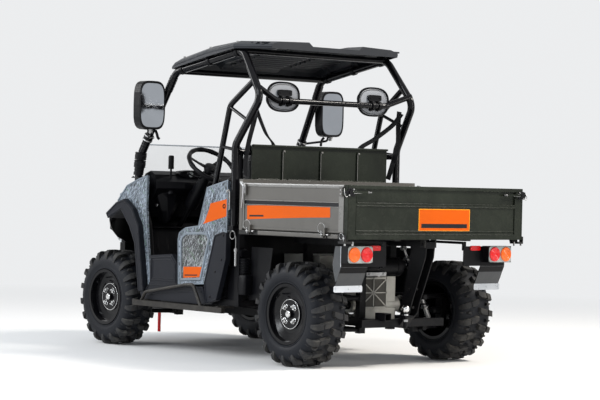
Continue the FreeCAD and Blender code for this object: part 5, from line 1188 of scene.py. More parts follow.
SEAT_TOP = 0.9203
PAD_HALF = (0.132, 0.092)
for side, label in ((1, "left"), (-1, "right")):
    y0, y1 = sorted((side * 0.032, side * 0.558))
    seams = [(1, y0 + 0.085, 0.007, 0.013, 1), (1, y1 - 0.085, 0.007, 0.013, 1), (0, 0.085, 0.005, 0.012, 1),
             (0, -0.050, 0.005, 0.012, 1)]
    swollen(label + "_seat_cushion", (-0.203, y0, 0.8015), (0.224, y1, SEAT_TOP - 0.002), "seats", 2, 0.018,
            seams=seams)
    seams = [(1, y0 + 0.085, 0.006, 0.013, 1), (1, y1 - 0.085, 0.006, 0.013, 1), (2, 1.245, 0.005, 0.012, 1),
             (2, 1.105, 0.005, 0.012, 1)]
    back = swollen(label + "_seat_back", (-0.300, y0, 0.928), (-0.205, y1, 1.360), "seats", 0, 0.016,
                   seams=seams)
    for vert in back.data.vertices:
        # The back leans: its foot is farther forward than its head
        vert.co.x += (1.362 - vert.co.z) * (0.036 / 0.434)
    y0, y1 = sorted((side * 0.262, side * 0.522))
    pad = swollen(label + "_headrest_pad", (REST_FRONT + 0.0005, y0, 1.622), (REST_FRONT + 0.056, y1, 1.802),
                  "headrest_pads", 0, 0.012, seams=[(2, REST_Z, 0.004, 0.010, 1)])
    for vert in pad.data.vertices:
        # Rounded like the plate behind it
        a, b = (vert.co.y - side * REST_Y) / PAD_HALF[0], (vert.co.z - REST_Z) / PAD_HALF[1]
        size = (abs(a) ** REST_FULLNESS + abs(b) ** REST_FULLNESS) ** (1 / REST_FULLNESS)
        if size > 0:
            shrink = max(abs(a), abs(b), 0.0001) / size
            vert.co.y = side * REST_Y + a * shrink * PAD_HALF[0]
            vert.co.z = REST_Z + b * shrink * PAD_HALF[1]

piping = Form()
for side in (1, -1):
    for y in (side * 0.036, side * 0.554):
        piping.hose([(-0.190, y, 0.8700), (0.0, y, 0.8720), (0.216, y, 0.8700)], 0.0028, 8)
piping.made("seat_piping", VINYL)


# Front wheelhouse: a dark liner behind the corner panel, and a rolled lip along the flare

# X, y, low z, high z
LINER = [(1.085, 0.712, 0.865, 0.935), (1.150, 0.660, 0.830, 0.935), (1.200, 0.605, 0.790, 0.925),
         (1.255, 0.525, 0.745, 0.915), (1.270, 0.430, 0.705, 0.900), (1.272, 0.330, 0.690, 0.890),
         (1.272, 0.262, 0.688, 0.880)]
liner = Form()
liner.loops([[(x, y, low), (x, y, high), (x + 0.006, y - 0.004, high), (x + 0.006, y - 0.004, low)]
             for x, y, low, high in LINER])
liner.loops([[(x - 0.004, y - 0.002, low - 0.004), (x - 0.004, y, low + 0.006),
              (x + 0.009, y - 0.006, low + 0.006), (x + 0.009, y - 0.006, low - 0.004)]
             for x, y, low, high in LINER])
liner.made("front_wheelhouse_liners", DARK_PLASTIC, both=True, bevel=0.001)

FLARE_OUT = 0.7483
PANEL_OUT = 0.734
FLARE = [(0.602, 0.400), (0.676, 0.836), (0.752, 0.953), (0.857, 1.018), (0.957, 0.990), (1.077, 0.914)]
FLARE_IN = [(0.668, 0.390), (0.676, 0.438), (0.726, 0.721), (0.790, 0.831), (0.897, 0.947), (1.054, 0.880)]


def strip_along(form, line, width, low_y, high_y):
    """A strip that follows a side outline, between two distances from the middle."""
    rows = []
    for i, (x, z) in enumerate(line):
        before = Vector(line[max(i - 1, 0)])
        after = Vector(line[min(i + 1, len(line) - 1)])
        way = (after - before).normalized()
        out = Vector((-way.y, way.x)) * width
        rows.append([(x, low_y, z), (x, high_y, z), (x + out.x, high_y, z + out.y),
                     (x + out.x, low_y, z + out.y)])
    form.loops(rows)


flare = Form()
strip_along(flare, [(x + 0.004, z - 0.006) for x, z in FLARE[:-1]] + [(1.068, 0.912)], -0.010, 0.7145, 0.7520)
strip_along(flare, [(x - 0.002, z + 0.003) for x, z in FLARE_IN], 0.012, 0.7148, 0.7505)
flare.made("flare_rims", PLASTIC, both=True, bevel=0.003, sharp=40)
STUD = ((0.0, 0.0055), (0.002, 0.005), (0.003, 0.0025))
COVER_STUD = ((0.0, 0.0080), (0.002, 0.0074), (0.0045, 0.0035))
FLARE_STUD = ((0.0, 0.0065), (0.002, 0.006), (0.0035, 0.003))
studs = Form()
for i, share in ((0, 0.12), (0, 0.5), (0, 0.9), (1, 0.6), (2, 0.7), (3, 0.6)):
    (x0, z0), (x1, z1) = FLARE[i], FLARE[i + 1]
    x, z = x0 + (x1 - x0) * share, z0 + (z1 - z0) * share
    studs.turned(FLARE_STUD, (x + 0.020, FLARE_OUT, z - 0.010), ACROSS, 14)
for x, z in ((-0.245, 0.640), (-0.130, 0.395), (-0.262, 0.800), (-0.180, 0.560)):
    studs.turned(COVER_STUD, (x, PANEL_OUT, z), ACROSS, 14)
for x, z in ((0.540, 0.470), (0.260, 0.470), (0.540, 0.625), (0.310, 0.640)):
    studs.turned(STUD, (x, PANEL_OUT, z), ACROSS, 14)
studs.made("panel_studs", DARK_PLASTIC, both=True)


# Printed panels: a raised rim, an inner field, plain films and a lock

SEAT_SIDE = [(-0.293, 1.152), (-0.082, 1.103), (0.006, 0.848), (0.150, 0.832), (0.215, 0.800), (0.228, 0.761),
             (0.216, 0.461), (-0.062, 0.482), (-0.165, 0.800), (-0.267, 0.828), (-0.293, 0.828)]
INNER_FIELD = [(-0.030, 0.800), (0.140, 0.792), (0.176, 0.772), (0.190, 0.745), (0.180, 0.500),
               (-0.020, 0.512), (-0.102, 0.770), (-0.085, 0.795)]


def ring_of(form, line, width, low_y, high_y):
    """A closed rim along an outline, of one width inwards."""
    count = len(line)
    rows = []
    for i in range(count + 1):
        point = Vector(line[i % count])
        before = (point - Vector(line[(i - 1) % count])).normalized()
        after = (Vector(line[(i + 1) % count]) - point).normalized()
        turn = before + after
        out = Vector((-turn.y, turn.x)).normalized()
        size = width / max(0.5, out.dot(Vector((-after.y, after.x))))
        corners = ((0.0, low_y), (0.0, high_y - 0.001), (0.3, high_y), (0.8, high_y), (1.0, low_y))
        rows.append([(point.x + out.x * size * share, y, point.y + out.y * size * share)
                     for share, y in corners])
    form.loops(rows, closed_ends=False)


rims_of_panels, films = Form(), Form()
ring_of(rims_of_panels, INNER_FIELD, 0.016, PANEL_OUT - 0.001, PANEL_OUT + 0.0075)
ring_of(rims_of_panels, SEAT_SIDE, 0.010, PANEL_OUT - 0.001, PANEL_OUT + 0.0030)
rims_of_panels.made("seat_panel_rims", PRINT_LIGHT, both=True, bevel=0.0012)
part = Form().prism(INNER_FIELD, "y", PANEL_OUT - 0.001, PANEL_OUT + 0.0006)
part.made("seat_panel_fields", PRINT_DARK, both=True)
films.prism([(-0.291, 1.036), (-0.117, 1.005), (-0.106, 0.972), (-0.062, 0.892), (-0.040, 0.868),
             (-0.291, 0.925)], "y", PANEL_OUT + 0.0003, PANEL_OUT + 0.0011)
films.prism([(-0.036, 0.586), (0.166, 0.578), (0.163, 0.505), (-0.013, 0.518)], "y", PANEL_OUT + 0.0007,
            PANEL_OUT + 0.0016)
films.made("side_panel_orange_films", ORANGE, both=True)
part = Form().prism([(0.010, 0.5335), (0.150, 0.5275), (0.149, 0.5195), (0.012, 0.5255)], "y",
                    PANEL_OUT + 0.0014, PANEL_OUT + 0.0020)
part.made("side_panel_black_bands", BLACK_FILM, both=True)
part = Form().turned([(0.0, 0.016), (0.003, 0.015), (0.003, 0.009), (0.0005, 0.0085)],
                     (-0.266, PANEL_OUT, 0.990), ACROSS, 24)
part.made("side_panel_locks", DARK_PLASTIC, both=True)

QUARTER = [(0.628, 1.184), (0.738, 1.158), (0.874, 1.112), (0.985, 1.005), (0.957, 0.988), (0.857, 1.014),
           (0.752, 0.953), (0.673, 0.836), (0.600, 0.432), (0.560, 0.443), (0.603, 0.692), (0.632, 0.950)]
quarter_rim = Form()
for corners in (QUARTER[9:] + QUARTER[:1], QUARTER[:4]):
    strip_along(quarter_rim, corners, -0.010, 0.7135, 0.7180)
quarter_rim.made("quarter_panel_rims", PRINT_LIGHT, both=True, bevel=0.0012)

# Lower covers: a sunk border and a chamfered corner, and creases along the sill

DOOR = [(0.540, 0.470), (0.540, 0.628), (0.306, 0.643), (0.258, 0.594), (0.253, 0.470)]
covers = Form()
ring_of(covers, DOOR, 0.010, PANEL_OUT - 0.001, PANEL_OUT + 0.0040)
ring_of(covers, [(0.522, 0.486), (0.522, 0.612), (0.314, 0.624), (0.274, 0.586), (0.270, 0.486)], 0.006,
        PANEL_OUT - 0.001, PANEL_OUT + 0.0022)
LOWER = [(-0.168, 0.800), (-0.267, 0.826), (-0.296, 0.820), (-0.296, 0.648), (-0.201, 0.374), (-0.088, 0.348),
         (-0.064, 0.482)]
ring_of(covers, LOWER, 0.012, PANEL_OUT - 0.001, PANEL_OUT + 0.0040)
strip_along(covers, [(0.600, 0.400), (0.560, 0.444), (-0.054, 0.4535)], 0.008, PANEL_OUT - 0.001,
            PANEL_OUT + 0.0035)
strip_along(covers, [(0.585, 0.372), (0.420, 0.392), (0.020, 0.424), (-0.040, 0.424)], 0.006,
            PANEL_OUT - 0.001, PANEL_OUT + 0.0025)
covers.made("lower_cover_borders", PLASTIC, both=True, bevel=0.0012)


# Mirrors: bezel, glass that faces back, joints and rubber stops on the arm; then the headrests' brackets

MIRROR_X = 0.480


def face_rows(stations):
    return soft_rows((0.796, 1.655), (0.1035, 0.1645), 4.0, [(MIRROR_X + x, share) for x, share in stations])


bezel = face_rows([(0.004, 0.985), (-0.004, 1.0), (-0.0085, 0.985), (-0.0085, 0.925), (-0.0045, 0.90)])
Form().loops(bezel, closed_ends=False).made("mirror_bezels", DARK_PLASTIC, both=True)
MIRROR_FACES = (
    ("mirror_glasses", MIRROR_GLASS, [(-0.0048, 0.915), (-0.0052, 0.60), (-0.0056, 0.02)]),
    ("mirror_backs", DARK_PLASTIC, [(0.0695, 0.985), (0.0735, 0.93), (0.0750, 0.70), (0.0755, 0.30)]),
)
for name, finish, stations in MIRROR_FACES:
    Form().loops(face_rows(stations)).made(name, finish, both=True, sharp=60)
mirror_arm = Form()
arm_at, arm_way = on_line(PILLAR[1], PILLAR[2], (1.440 - 1.320) / (1.885 - 1.320))
for lift in (-0.016, 0.016):
    sleeve(mirror_arm, arm_at + arm_way * lift, arm_way, 0.0355, 0.012)
bolt(mirror_arm, arm_at + Vector((-0.034, 0.016, 0.0)), (-1, 0.3, 0), 0.0065)
bolt(mirror_arm, arm_at + Vector((-0.020, -0.028, 0.0)), (-0.6, -1, 0), 0.0065)
mirror_arm.ball((0.494, 0.793, 1.476), 0.0150, 18)
mirror_arm.bar((0.490, 0.796, 1.480), (0.488, 0.796, 1.497), 0.0130, 16, 0.0165)
mirror_arm.made("mirror_joints", STEEL, both=True, bevel=0.0006)
part = Form().hose([(0.506, 0.744, 1.485), (0.512, 0.728, 1.462), (0.510, 0.722, 1.440),
                    (0.502, 0.714, 1.428)], 0.0095, 12)
part.made("mirror_rubber_stops", DARK_PLASTIC, both=True)

brackets = Form()
stations = ((0.010, 0.96), (0.0, 1.0), (-0.004, 0.96), (-0.0035, 0.86))
stations = [(REST_FRONT - 0.022 + x, share) for x, share in stations]
brackets.loops(soft_rows((0.391, 1.7375), (0.060, 0.021), 6, stations, 32))
for y in (0.350, 0.432):
    bolt(brackets, (REST_FRONT - 0.0255, y, 1.7375), (-1, 0, 0), 0.0045)
brackets.made("headrest_brackets", DARK_PLASTIC, both=True, bevel=0.001)


# Windscreen: a pale blue-grey top rail, painted as the highlight along the screen's top edge

SCREEN_TOP_X = 0.750 + 0.0255 - 0.009
rail = [(SCREEN_TOP_X - 0.002, 1.390), (SCREEN_TOP_X - 0.002, 1.3985), (SCREEN_TOP_X + 0.008, 1.4005),
        (SCREEN_TOP_X + 0.008, 1.390)]
Form().prism(rail, "y", -0.655, 0.655).made("windscreen_top_rail", SCREEN_EDGE_HIGHLIGHT, bevel=0.0008)


# Steering wheel: grip, boss and spokes; column shroud with its stalk; dash, pedals and shift lever

COLUMN_SLOPE = math.radians(50)
COLUMN = Vector((math.cos(COLUMN_SLOPE), 0, -math.sin(COLUMN_SLOPE)))
WHEEL_AT = Vector((0.390, 0.350, 1.260))
GRIP_RADIUS = 0.168
GRIP_STEPS = 96
GRIP_WAVES = 12
UP = (-COLUMN).cross(ACROSS)
wheel_grip = Form()
rows = []
for i in range(GRIP_STEPS):
    a = 2 * math.pi * i / GRIP_STEPS
    out = UP * math.cos(a) + ACROSS * math.sin(a)
    thick = 0.0158 + 0.0009 * math.cos(GRIP_WAVES * a)
    rows.append(circle(WHEEL_AT + out * GRIP_RADIUS, out, COLUMN, thick, 14))
wheel_grip.loops(rows + rows[:1], closed_ends=False)
wheel_grip.made("steering_wheel_grip", DARK_PLASTIC, "steering_wheel", sharp=60,
                stands_for=("steering_wheel",))
boss = Form()
boss.turned([(0.052, 0.030), (0.050, 0.038), (0.022, 0.044), (0.014, 0.042), (0.006, 0.033), (0.004, 0.010)],
            WHEEL_AT, COLUMN, 40)
for turn in (60, 180, 300):
    way = UP * -math.cos(math.radians(turn)) + ACROSS * math.sin(math.radians(turn))
    side = COLUMN.cross(way)
    spoke = []
    for share, half, depth in ((0.03, 0.024, 0.030), (0.09, 0.016, 0.020), (0.158, 0.013, 0.004)):
        middle = WHEEL_AT + way * share + COLUMN * depth
        spoke.append([middle + side * half, middle + side * half * 0.7 - COLUMN * 0.005,
                      middle - side * half * 0.7 - COLUMN * 0.005, middle - side * half,
                      middle + COLUMN * 0.006])
    boss.loops(spoke)
boss.made("steering_wheel_boss", DARK_PLASTIC, "steering_wheel", bevel=0.002, stands_for=("steering_wheel",))
shroud = Form()
start = WHEEL_AT + COLUMN * 0.066
shroud.turned([(0.0, 0.026), (0.006, 0.034), (0.12, 0.040), (0.22, 0.052), (0.30, 0.048)], start, COLUMN, 28)
shroud.hose([start + COLUMN * along + ACROSS * out
             for along, out in ((0.05, 0.030), (0.04, 0.085), (0.015, 0.150))], 0.0055, 10)
shroud.ball(start + COLUMN * 0.012 + ACROSS * 0.158, 0.010, 14)
shroud.made("column_shroud", DARK_PLASTIC, bevel=0.002)

# Sculpted wedges along the dash's rear face: y places, depth
DASH_BAYS = [(-0.635, 0.02), (-0.52, 0.075), (-0.33, 0.085), (-0.20, 0.03), (-0.09, 0.09), (0.10, 0.09),
             (0.19, 0.03), (0.27, 0.085), (0.45, 0.095), (0.56, 0.05), (0.635, 0.02)]
part = Form().loops([[(0.712, y, 1.200), (0.676 - depth * 0.30, y, 1.186), (0.652 - depth * 0.9, y, 1.140),
                      (0.655 - depth, y, 1.095), (0.690 - depth * 0.2, y, 1.030), (0.722, y, 1.005)]
                     for y, depth in DASH_BAYS])
part.made("dash_front", DARK_PLASTIC, bevel=0.004, sharp=20)
# X, height of the middle, size at each ring of the pod
POD = ((0.700, 1.195, 1.0), (0.640, 1.200, 1.0), (0.618, 1.196, 0.97), (0.616, 1.196, 0.90),
       (0.630, 1.197, 0.86))
part = Form().loops([[(x, 0.350 + a * s, z + b * s * 0.5) for a, b in soft_outline(0.105, 0.050, 3, 36)]
                     for x, z, s in POD])
part.made("instrument_pod", DARK_PLASTIC, bevel=0.001)
part = Form().turned([(0.0, 0.001), (0.0, 0.019), (0.002, 0.0195)], (0.629, 0.350, 1.197), (-1, 0, 0), 32)
part.made("instrument_face", PLATE_GREY)
part = Form().hose([(0.660, -0.540, 1.130), (0.560, -0.525, 1.150), (0.530, -0.470, 1.155),
                    (0.530, -0.290, 1.155), (0.560, -0.235, 1.150), (0.660, -0.220, 1.130)], 0.0125, 14)
part.made("passenger_grab_bar", DARK_PLASTIC)
SLOPE = 0.35
pedals = Form()
for y, wide, low, high, x in ((0.235, 0.030, 0.490, 0.560, 0.650), (0.420, 0.045, 0.500, 0.560, 0.645)):
    pedals.loops([[(face, y - wide, z), (face, y + wide, z), (x + 0.012 + (z - low) * SLOPE, y + wide, z),
                   (x + 0.012 + (z - low) * SLOPE, y - wide, z)]
                  for face, z in ((x + (z - low) * SLOPE, z) for z in (low, high))])
    pedals.hose([(x + 0.020, y, (low + high) / 2), (x + 0.050, y, 0.640), (x + 0.062, y, 0.740)], 0.0075, 10)
    for i in range(4):
        z = low + 0.012 + i * (high - low - 0.02) / 3.5
        face = x + (z - low) * SLOPE
        pedals.block((face - 0.003, y - wide + 0.004, z), (face + 0.001, y + wide - 0.004, z + 0.006))
pedals.made("pedals", FRAME_PAINT, bevel=0.0015)
KNOB_X = 0.630
KNOB_Y = 0.519
lever = Form()
lever.turned([(0.0, 0.0175), (0.003, 0.020), (0.050, 0.0190), (0.082, 0.0200), (0.092, 0.0175),
              (0.0945, 0.009)], (KNOB_X, KNOB_Y, 1.229), (0, 0, 1), 24)
for i in range(5):
    lever.turned([(0.0, 0.0190), (0.003, 0.0212), (0.006, 0.0190), (0.003, 0.015)],
                 (KNOB_X, KNOB_Y, 1.240 + i * 0.011), (0, 0, 1), 24, closed=True)
for i in range(4):
    lever.turned([(0.0, 0.034 - i * 0.005), (0.006, 0.031 - i * 0.005), (0.012, 0.029 - i * 0.005)],
                 (KNOB_X, KNOB_Y, 1.058 + i * 0.010), (0, 0, 1), 24)
lever.made("shift_lever_knob", DARK_PLASTIC, bevel=0.001)
blocks = Form()
for share, radius in ((0.38, 0.034), (0.62, 0.041), (0.96, 0.041)):
    low, way = on_line(*PILLAR[:2], share)
    sleeve(blocks, low, way, radius, 0.050, 2)
    bolt(blocks, low + Vector((-radius, 0.004, 0.0)), (-1, 0.2, 0), 0.006)
blocks.made("pillar_blocks", DARK_PLASTIC, both=True, bevel=0.0008)


# Rear: gearbox cover with crossed ribs, muffler bracket and bands, tow ball, coil springs

COVER_X = -0.9975
part = Form().prism([(-0.036, 0.366), (0.186, 0.366), (0.186, 0.548), (-0.036, 0.548)], "x", COVER_X - 0.0015,
                    COVER_X + 0.001)
part.made("gearbox_cover_field", CAST_DARK)
cover = Form()
for (y0, z0), (y1, z1) in (((-0.030, 0.372), (0.180, 0.542)), ((0.180, 0.372), (-0.030, 0.542)),
                           ((-0.030, 0.457), (0.180, 0.457)), ((0.075, 0.372), (0.075, 0.542))):
    way = Vector((0, y1 - y0, z1 - z0)).normalized()
    out = Vector((0, -way.z, way.y)) * 0.0035
    foot = [Vector((COVER_X - 0.001, y0, z0)) - out, Vector((COVER_X - 0.001, y1, z1)) - out,
            Vector((COVER_X - 0.001, y1, z1)) + out, Vector((COVER_X - 0.001, y0, z0)) + out]
    cover.loops([foot, [p + Vector((-0.005, 0, 0)) for p in foot]])
for y0, y1, z0, z1 in ((-0.040, 0.190, 0.358, 0.368), (-0.040, 0.190, 0.545, 0.555),
                       (-0.040, -0.031, 0.366, 0.547), (0.181, 0.190, 0.366, 0.547)):
    cover.block((COVER_X - 0.006, y0, z0), (COVER_X + 0.001, y1, z1))
for y, z in ((-0.035, 0.363), (0.185, 0.363), (-0.035, 0.550), (0.185, 0.550), (0.075, 0.363), (0.075, 0.550),
             (-0.035, 0.457), (0.185, 0.457)):
    bolt(cover, (COVER_X - 0.006, y, z), (-1, 0, 0), 0.0055)
cover.made("gearbox_cover_ribs", CAST, bevel=0.0012)
output = Form()
for radius, at in ((0.050, 0.196), (0.058, 0.206), (0.046, 0.214)):
    output.turned([(0.0, 0.030), (0.0, radius), (0.006, radius), (0.006, 0.030)], (-0.940, -at, 0.378),
                  (0, -1, 0), 36, closed=True)
output.made("output_flanges", BRIGHT, both=True, bevel=0.0008)

muffler_bands = Form()
for y in (-0.130, 0.020, 0.130):
    muffler_bands.turned([(-0.011, 0.0603), (-0.010, 0.0625), (-0.003, 0.0618), (0.003, 0.0618),
                          (0.010, 0.0625), (0.011, 0.0603)], (-0.960, y, 0.6203), ACROSS, 48, closed=True)
muffler_bands.made("muffler_bands", FRAME_PAINT, bevel=0.0006)
bracket = Form()
bracket.block((-1.0245, -0.010, 0.566), (-1.0215, 0.158, 0.592))
bracket.block((-1.0245, 0.045, 0.560), (-0.990, 0.062, 0.566))
bracket.block((-1.0245, -0.010, 0.588), (-1.004, 0.158, 0.592))
for y in (0.015, 0.135):
    bolt(bracket, (-1.0245, y, 0.579), (-1, 0, 0), 0.006)
bracket.made("muffler_bracket", STEEL, bevel=0.0008)
pipe = Form()
pipe.hose([(-0.955, -0.170, 0.620), (-0.955, -0.215, 0.622), (-0.930, -0.242, 0.640),
           (-0.880, -0.250, 0.650)], 0.0190, 20)
pipe.hose([(-1.000, 0.090, 0.646), (-1.050, 0.085, 0.652), (-1.072, 0.082, 0.640), (-1.078, 0.082, 0.618)],
          0.0160, 20)
pipe.made("exhaust_pipes", FRAME_PAINT)

TOW = Vector((-1.310, 0.075, 0.371))
part = Form().turned([(-0.0255, 0.002), (-0.0240, 0.010), (-0.0180, 0.0185), (-0.0090, 0.0245), (0.0, 0.0258),
                      (0.0090, 0.0245), (0.0170, 0.0195), (0.0215, 0.0145), (0.0300, 0.0135),
                      (0.0330, 0.0200), (0.0390, 0.0205), (0.0400, 0.0120)], TOW, (0, 0, -1), 36)
part.made("tow_ball", BRIGHT, sharp=50)
thread = Form()
thread.bar(TOW + Vector((0, 0, -0.066)), TOW + Vector((0, 0, -0.080)), 0.0165, 6)
for i in range(5):
    at = TOW + Vector((0, 0, -0.080 - 0.0035 * i))
    thread.turned([(0.0, 0.0085), (0.0012, 0.0095), (0.0034, 0.0085)], at, (0, 0, -1), 20)
thread.made("tow_ball_nut", STEEL, bevel=0.0006)

# Low end, high end of each coil-over
COILS = (((1.106, 0.450, 0.261), (1.106, 0.345, 0.674)), ((-0.986, 0.440, 0.261), (-0.986, 0.190, 0.743)))
# Where the coil starts and ends along the coil-over
COIL_LOW = 0.22
COIL_HIGH = 0.86
COIL_TURNS = 8.0
COIL_STEPS = 150
springs, damper_rods = Form(), Form()
for start, finish_at in COILS:
    start, finish_at = Vector(start), Vector(finish_at)
    run = finish_at - start
    way = run.normalized()
    side = way.cross(Vector((1, 0, 0))).normalized()
    other = way.cross(side)
    rows = []
    for i in range(COIL_STEPS + 1):
        share = i / COIL_STEPS
        angle = share * COIL_TURNS * 2 * math.pi
        out = side * math.cos(angle) + other * math.sin(angle)
        centre = start + run * (COIL_LOW + (COIL_HIGH - COIL_LOW) * share) + out * 0.0232
        rows.append(circle(centre, out, way, 0.0045, 8))
    springs.loops(rows)
    length = run.length
    damper_rods.turned([(0.02, 0.012), (0.03, 0.0165), (length * 0.55, 0.0165), (length * 0.56, 0.0080),
                        (length * 0.97, 0.0080), (length * 0.975, 0.004)], start, way, 20)
    for share in (COIL_LOW - 0.02, COIL_HIGH + 0.005):
        damper_rods.turned([(0.0, 0.012), (0.0, 0.0285), (0.004, 0.0285), (0.007, 0.012)],
                           start + run * share, way, 28, closed=True)
    for end in (start, finish_at):
        damper_rods.bar(end - Vector((0.016, 0, 0)), end + Vector((0.016, 0, 0)), 0.0155, 20)
springs.made("coil_springs", DARK_PLASTIC, both=True, sharp=60)
damper_rods.made("damper_tubes", STEEL, both=True, bevel=0.0005, stands_for=("dampers",))


# Guards: side flanges with a bright strip along the edge as painted highlight, and lower flaps

GUARD_SIDE = [(-1.402, 0.770), (-1.345, 0.770), (-1.322, 0.660), (-1.335, 0.600), (-1.352, 0.550),
              (-1.366, 0.560), (-1.402, 0.644)]
Form().prism(GUARD_SIDE, "y", 0.6945, 0.6990).made("guard_side_flanges", GUARD_GREY, both=True, bevel=0.0008)
# A thin bright metal strip along each flange's rear edge: painted highlight
part = Form().prism([(-1.402, 0.770), (-1.398, 0.770), (-1.398, 0.646), (-1.402, 0.644)], "y", 0.6975, 0.7005)
part.made("guard_edge_painted_highlights", ALUMINIUM_AND_EDGE_HIGHLIGHT, both=True)
part = Form().prism([(GUARD_X - 0.0012, 0.643), (GUARD_X + 0.0525, 0.5235), (GUARD_X + 0.0555, 0.5235),
                     (GUARD_X + 0.0018, 0.643)], "y", 0.4845, 0.6975)
part.made("guard_lower_flaps", GUARD_GREY, both=True, bevel=0.0008)


# Behind the seat panel: air box neck, bellows and bottle, bright catches, hanging hinge pin with its ring

neck = Form()
neck.loops([[(x, y + a, z + b) for a, b in soft_outline(0.030, 0.024, 4, 24)] for x, y, z in
            ((-0.300, 0.630, 0.700), (-0.340, 0.636, 0.694), (-0.372, 0.640, 0.684))])
rows = []
for i in range(13):
    radius = 0.034 if i % 2 else 0.028
    rows.append([(-0.372 + a, 0.638 + b, 0.655 - i * 0.0085)
                 for a, b in soft_outline(radius, radius, 2.4, 28)])
neck.loops(rows)
neck.loops([[(-0.378 + a * s, 0.636 + b * s, z) for a, b in soft_outline(0.044, 0.040, 4, 28)] for z, s in
            ((0.550, 0.80), (0.538, 0.98), (0.500, 1.0), (0.440, 0.98), (0.420, 0.85))])
neck.made("air_duct_bellows", DARK_PLASTIC, bevel=0.001, sharp=45)
catches = Form()
catches.bar((-0.3285, 0.7400, 0.968), (-0.3265, 0.7400, 1.086), 0.0048, 14)
catches.hose([(-0.3265, 0.740, 1.084), (-0.326, 0.748, 1.096), (-0.326, 0.758, 1.090),
              (-0.326, 0.760, 1.078)], 0.0042, 10)
catches.bar((-0.392, 0.7300, 0.607), (-0.392, 0.7300, 0.723), 0.0078, 16)
catches.bar((-0.392, 0.7300, 0.700), (-0.392, 0.7300, 0.716), 0.0120, 16)
ring = [Vector((-0.372 + 0.026 * math.cos(a), 0.744, 0.806 + 0.026 * math.sin(a)))
        for a in (2 * math.pi * i / 20 for i in range(21))]
catches.hose(ring, 0.0020, 8)
catches.hose([(-0.398, 0.742, 0.806), (-0.400, 0.738, 0.780), (-0.396, 0.734, 0.745), (-0.393, 0.732, 0.722)],
             0.0026, 8)
catches.made("board_catch_pins", STEEL, both=True, bevel=0.0005)

# Driver's knee panel: a wedge that comes to a point low down, and the footwell's front wall

# Z, low y, high y, rear x, front x
KNEE = [(1.182, 0.335, 0.640, 0.640, 0.730), (1.120, 0.365, 0.632, 0.622, 0.735),
        (1.030, 0.405, 0.600, 0.618, 0.745), (0.940, 0.452, 0.556, 0.636, 0.755),
        (0.858, 0.494, 0.514, 0.672, 0.760)]
part = Form().loops([[(front, low, z), (rear + 0.030, low, z), (rear, low + (high - low) * 0.38, z),
                      (rear + 0.012, low + (high - low) * 0.72, z), (rear + 0.045, high, z), (front, high, z)]
                     for z, low, high, rear, front in KNEE])
part.made("driver_knee_panel", DARK_PLASTIC, bevel=0.005, sharp=20)
wall = Form()
wall.prism([(0.668, 0.600), (0.684, 0.600), (0.716, 0.826), (0.668, 0.832), (0.662, 0.826), (0.694, 0.818)],
           "y", 0.190, 0.632)
for y in (0.26, 0.34, 0.42, 0.50, 0.58):
    wall.prism([(0.671, 0.665), (0.680, 0.665), (0.702, 0.800), (0.693, 0.800)], "y", y - 0.008, y + 0.008)
wall.made("footwell_front_walls", DARK_PLASTIC, both=True, bevel=0.003)
part = Form().turned([(0.0, 0.0125), (0.003, 0.012), (0.003, 0.009), (0.001, 0.0085)], (0.668, 0.610, 0.980),
                     (-1, 0.15, 0), 24)
part.made("dash_socket_ring", BRIGHT)


# Front end: winch rope and fairlead, headlamp bowls, hood seams; and the grip on the side steps

DRUM = (1.385, 0, 0.312)
winch = Form()
for low, high in ((-0.118, -0.110), (0.110, 0.118)):
    winch.turned([(low, 0.0455), (low, 0.0520), (high, 0.0520), (high, 0.0455)], DRUM, ACROSS, 36,
                 closed=True)
for i in range(26):
    y = -0.104 + i * 0.0083
    winch.turned([(y - 0.0036, 0.0440), (y - 0.0018, 0.0476), (y + 0.0018, 0.0476), (y + 0.0036, 0.0440)],
                 DRUM, ACROSS, 28, closed=True)
winch.made("winch_rope_wraps", STEEL)
fair = Form()
for z in (0.286, 0.338):
    fair.bar((1.4545, -0.075, z), (1.4545, 0.075, z), 0.0095, 20)
for y in (-0.082, 0.082):
    fair.bar((1.4545, y, 0.275), (1.4545, y, 0.349), 0.0080, 20)
    bolt(fair, (1.4525, y * 1.28, 0.312), (1, 0, 0), 0.007)
fair.made("winch_fairlead", BRIGHT, bevel=0.0008)
bowls = Form()
bowls.turned([(0.0, 0.010), (0.004, 0.026), (0.014, 0.036), (0.022, 0.038), (0.024, 0.0385)],
             (1.4305, 0.352, 0.744), (1, 0, 0), 36)
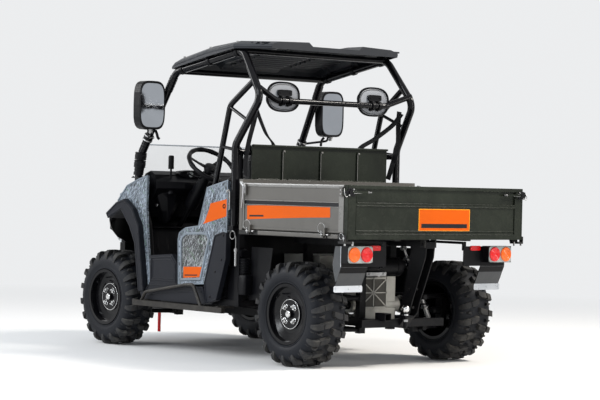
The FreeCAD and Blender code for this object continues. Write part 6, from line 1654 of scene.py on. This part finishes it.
bowls.ball((1.4410, 0.352, 0.744), 0.0080, 16)
bowls.made("headlamp_bowls", BRIGHT, both=True)
# Hood rows as in the solid: x, top z, half width, crown
HOOD = [(0.816, 1.120, 0.700, 0.048), (0.980, 1.050, 0.700, 0.066), (1.220, 0.975, 0.540, 0.066),
        (1.400, 0.915, 0.400, 0.050)]
SEAM_SHARE = 0.42
part = Form().hose([(x, half * SEAM_SHARE, z + crown * (1 - SEAM_SHARE ** 2) + 0.0004)
                    for x, z, half, crown in HOOD], 0.0035, 8)
part.made("hood_seams", DARK_PLASTIC, both=True)
step_grip = Form()
for i in range(34):
    x = -0.290 + i * 0.0275
    step_grip.block((x, 0.7545, 0.3325), (x + 0.012, 0.7755, 0.3352))
step_grip.made("step_grips", STEP, both=True)


# Front pull strap: a flat web hanging from the bumper

strap_line = [(1.4542, 0.0, 0.2395), (1.4538, 0.0006, 0.198), (1.4541, -0.0006, 0.152),
              (1.4545, 0.0004, 0.104), (1.4540, 0.0, 0.0405)]
curve = bpy.data.curves.new("pull_strap_web", "CURVE")
curve.dimensions = "3D"
spline = curve.splines.new("NURBS")
spline.points.add(len(strap_line) - 1)
for point, place in zip(spline.points, strap_line):
    point.co = (*place, 1)
spline.order_u = 3
spline.use_endpoint_u = True
spline.resolution_u = 12
section = bpy.data.curves.new("pull_strap_section", "CURVE")
section.dimensions = "2D"
outline = section.splines.new("POLY")
outline.points.add(7)
for point, (a, b) in zip(outline.points, ((-0.012, -0.0004), (-0.0115, -0.0009), (0.0115, -0.0009),
                                          (0.012, -0.0004), (0.012, 0.0004), (0.0115, 0.0009),
                                          (-0.0115, 0.0009), (-0.012, 0.0004))):
    point.co = (a, b, 0, 1)
outline.use_cyclic_u = True
section_object = bpy.data.objects.new("pull_strap_section", section)
curve.bevel_mode = "OBJECT"
curve.bevel_object = section_object
curve.use_fill_caps = True
strap = bpy.data.objects.new("pull_strap_web", curve)
scene.collection.objects.link(strap)
paint(strap, RED_WEB)
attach(strap, "chassis")
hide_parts("pull_strap")
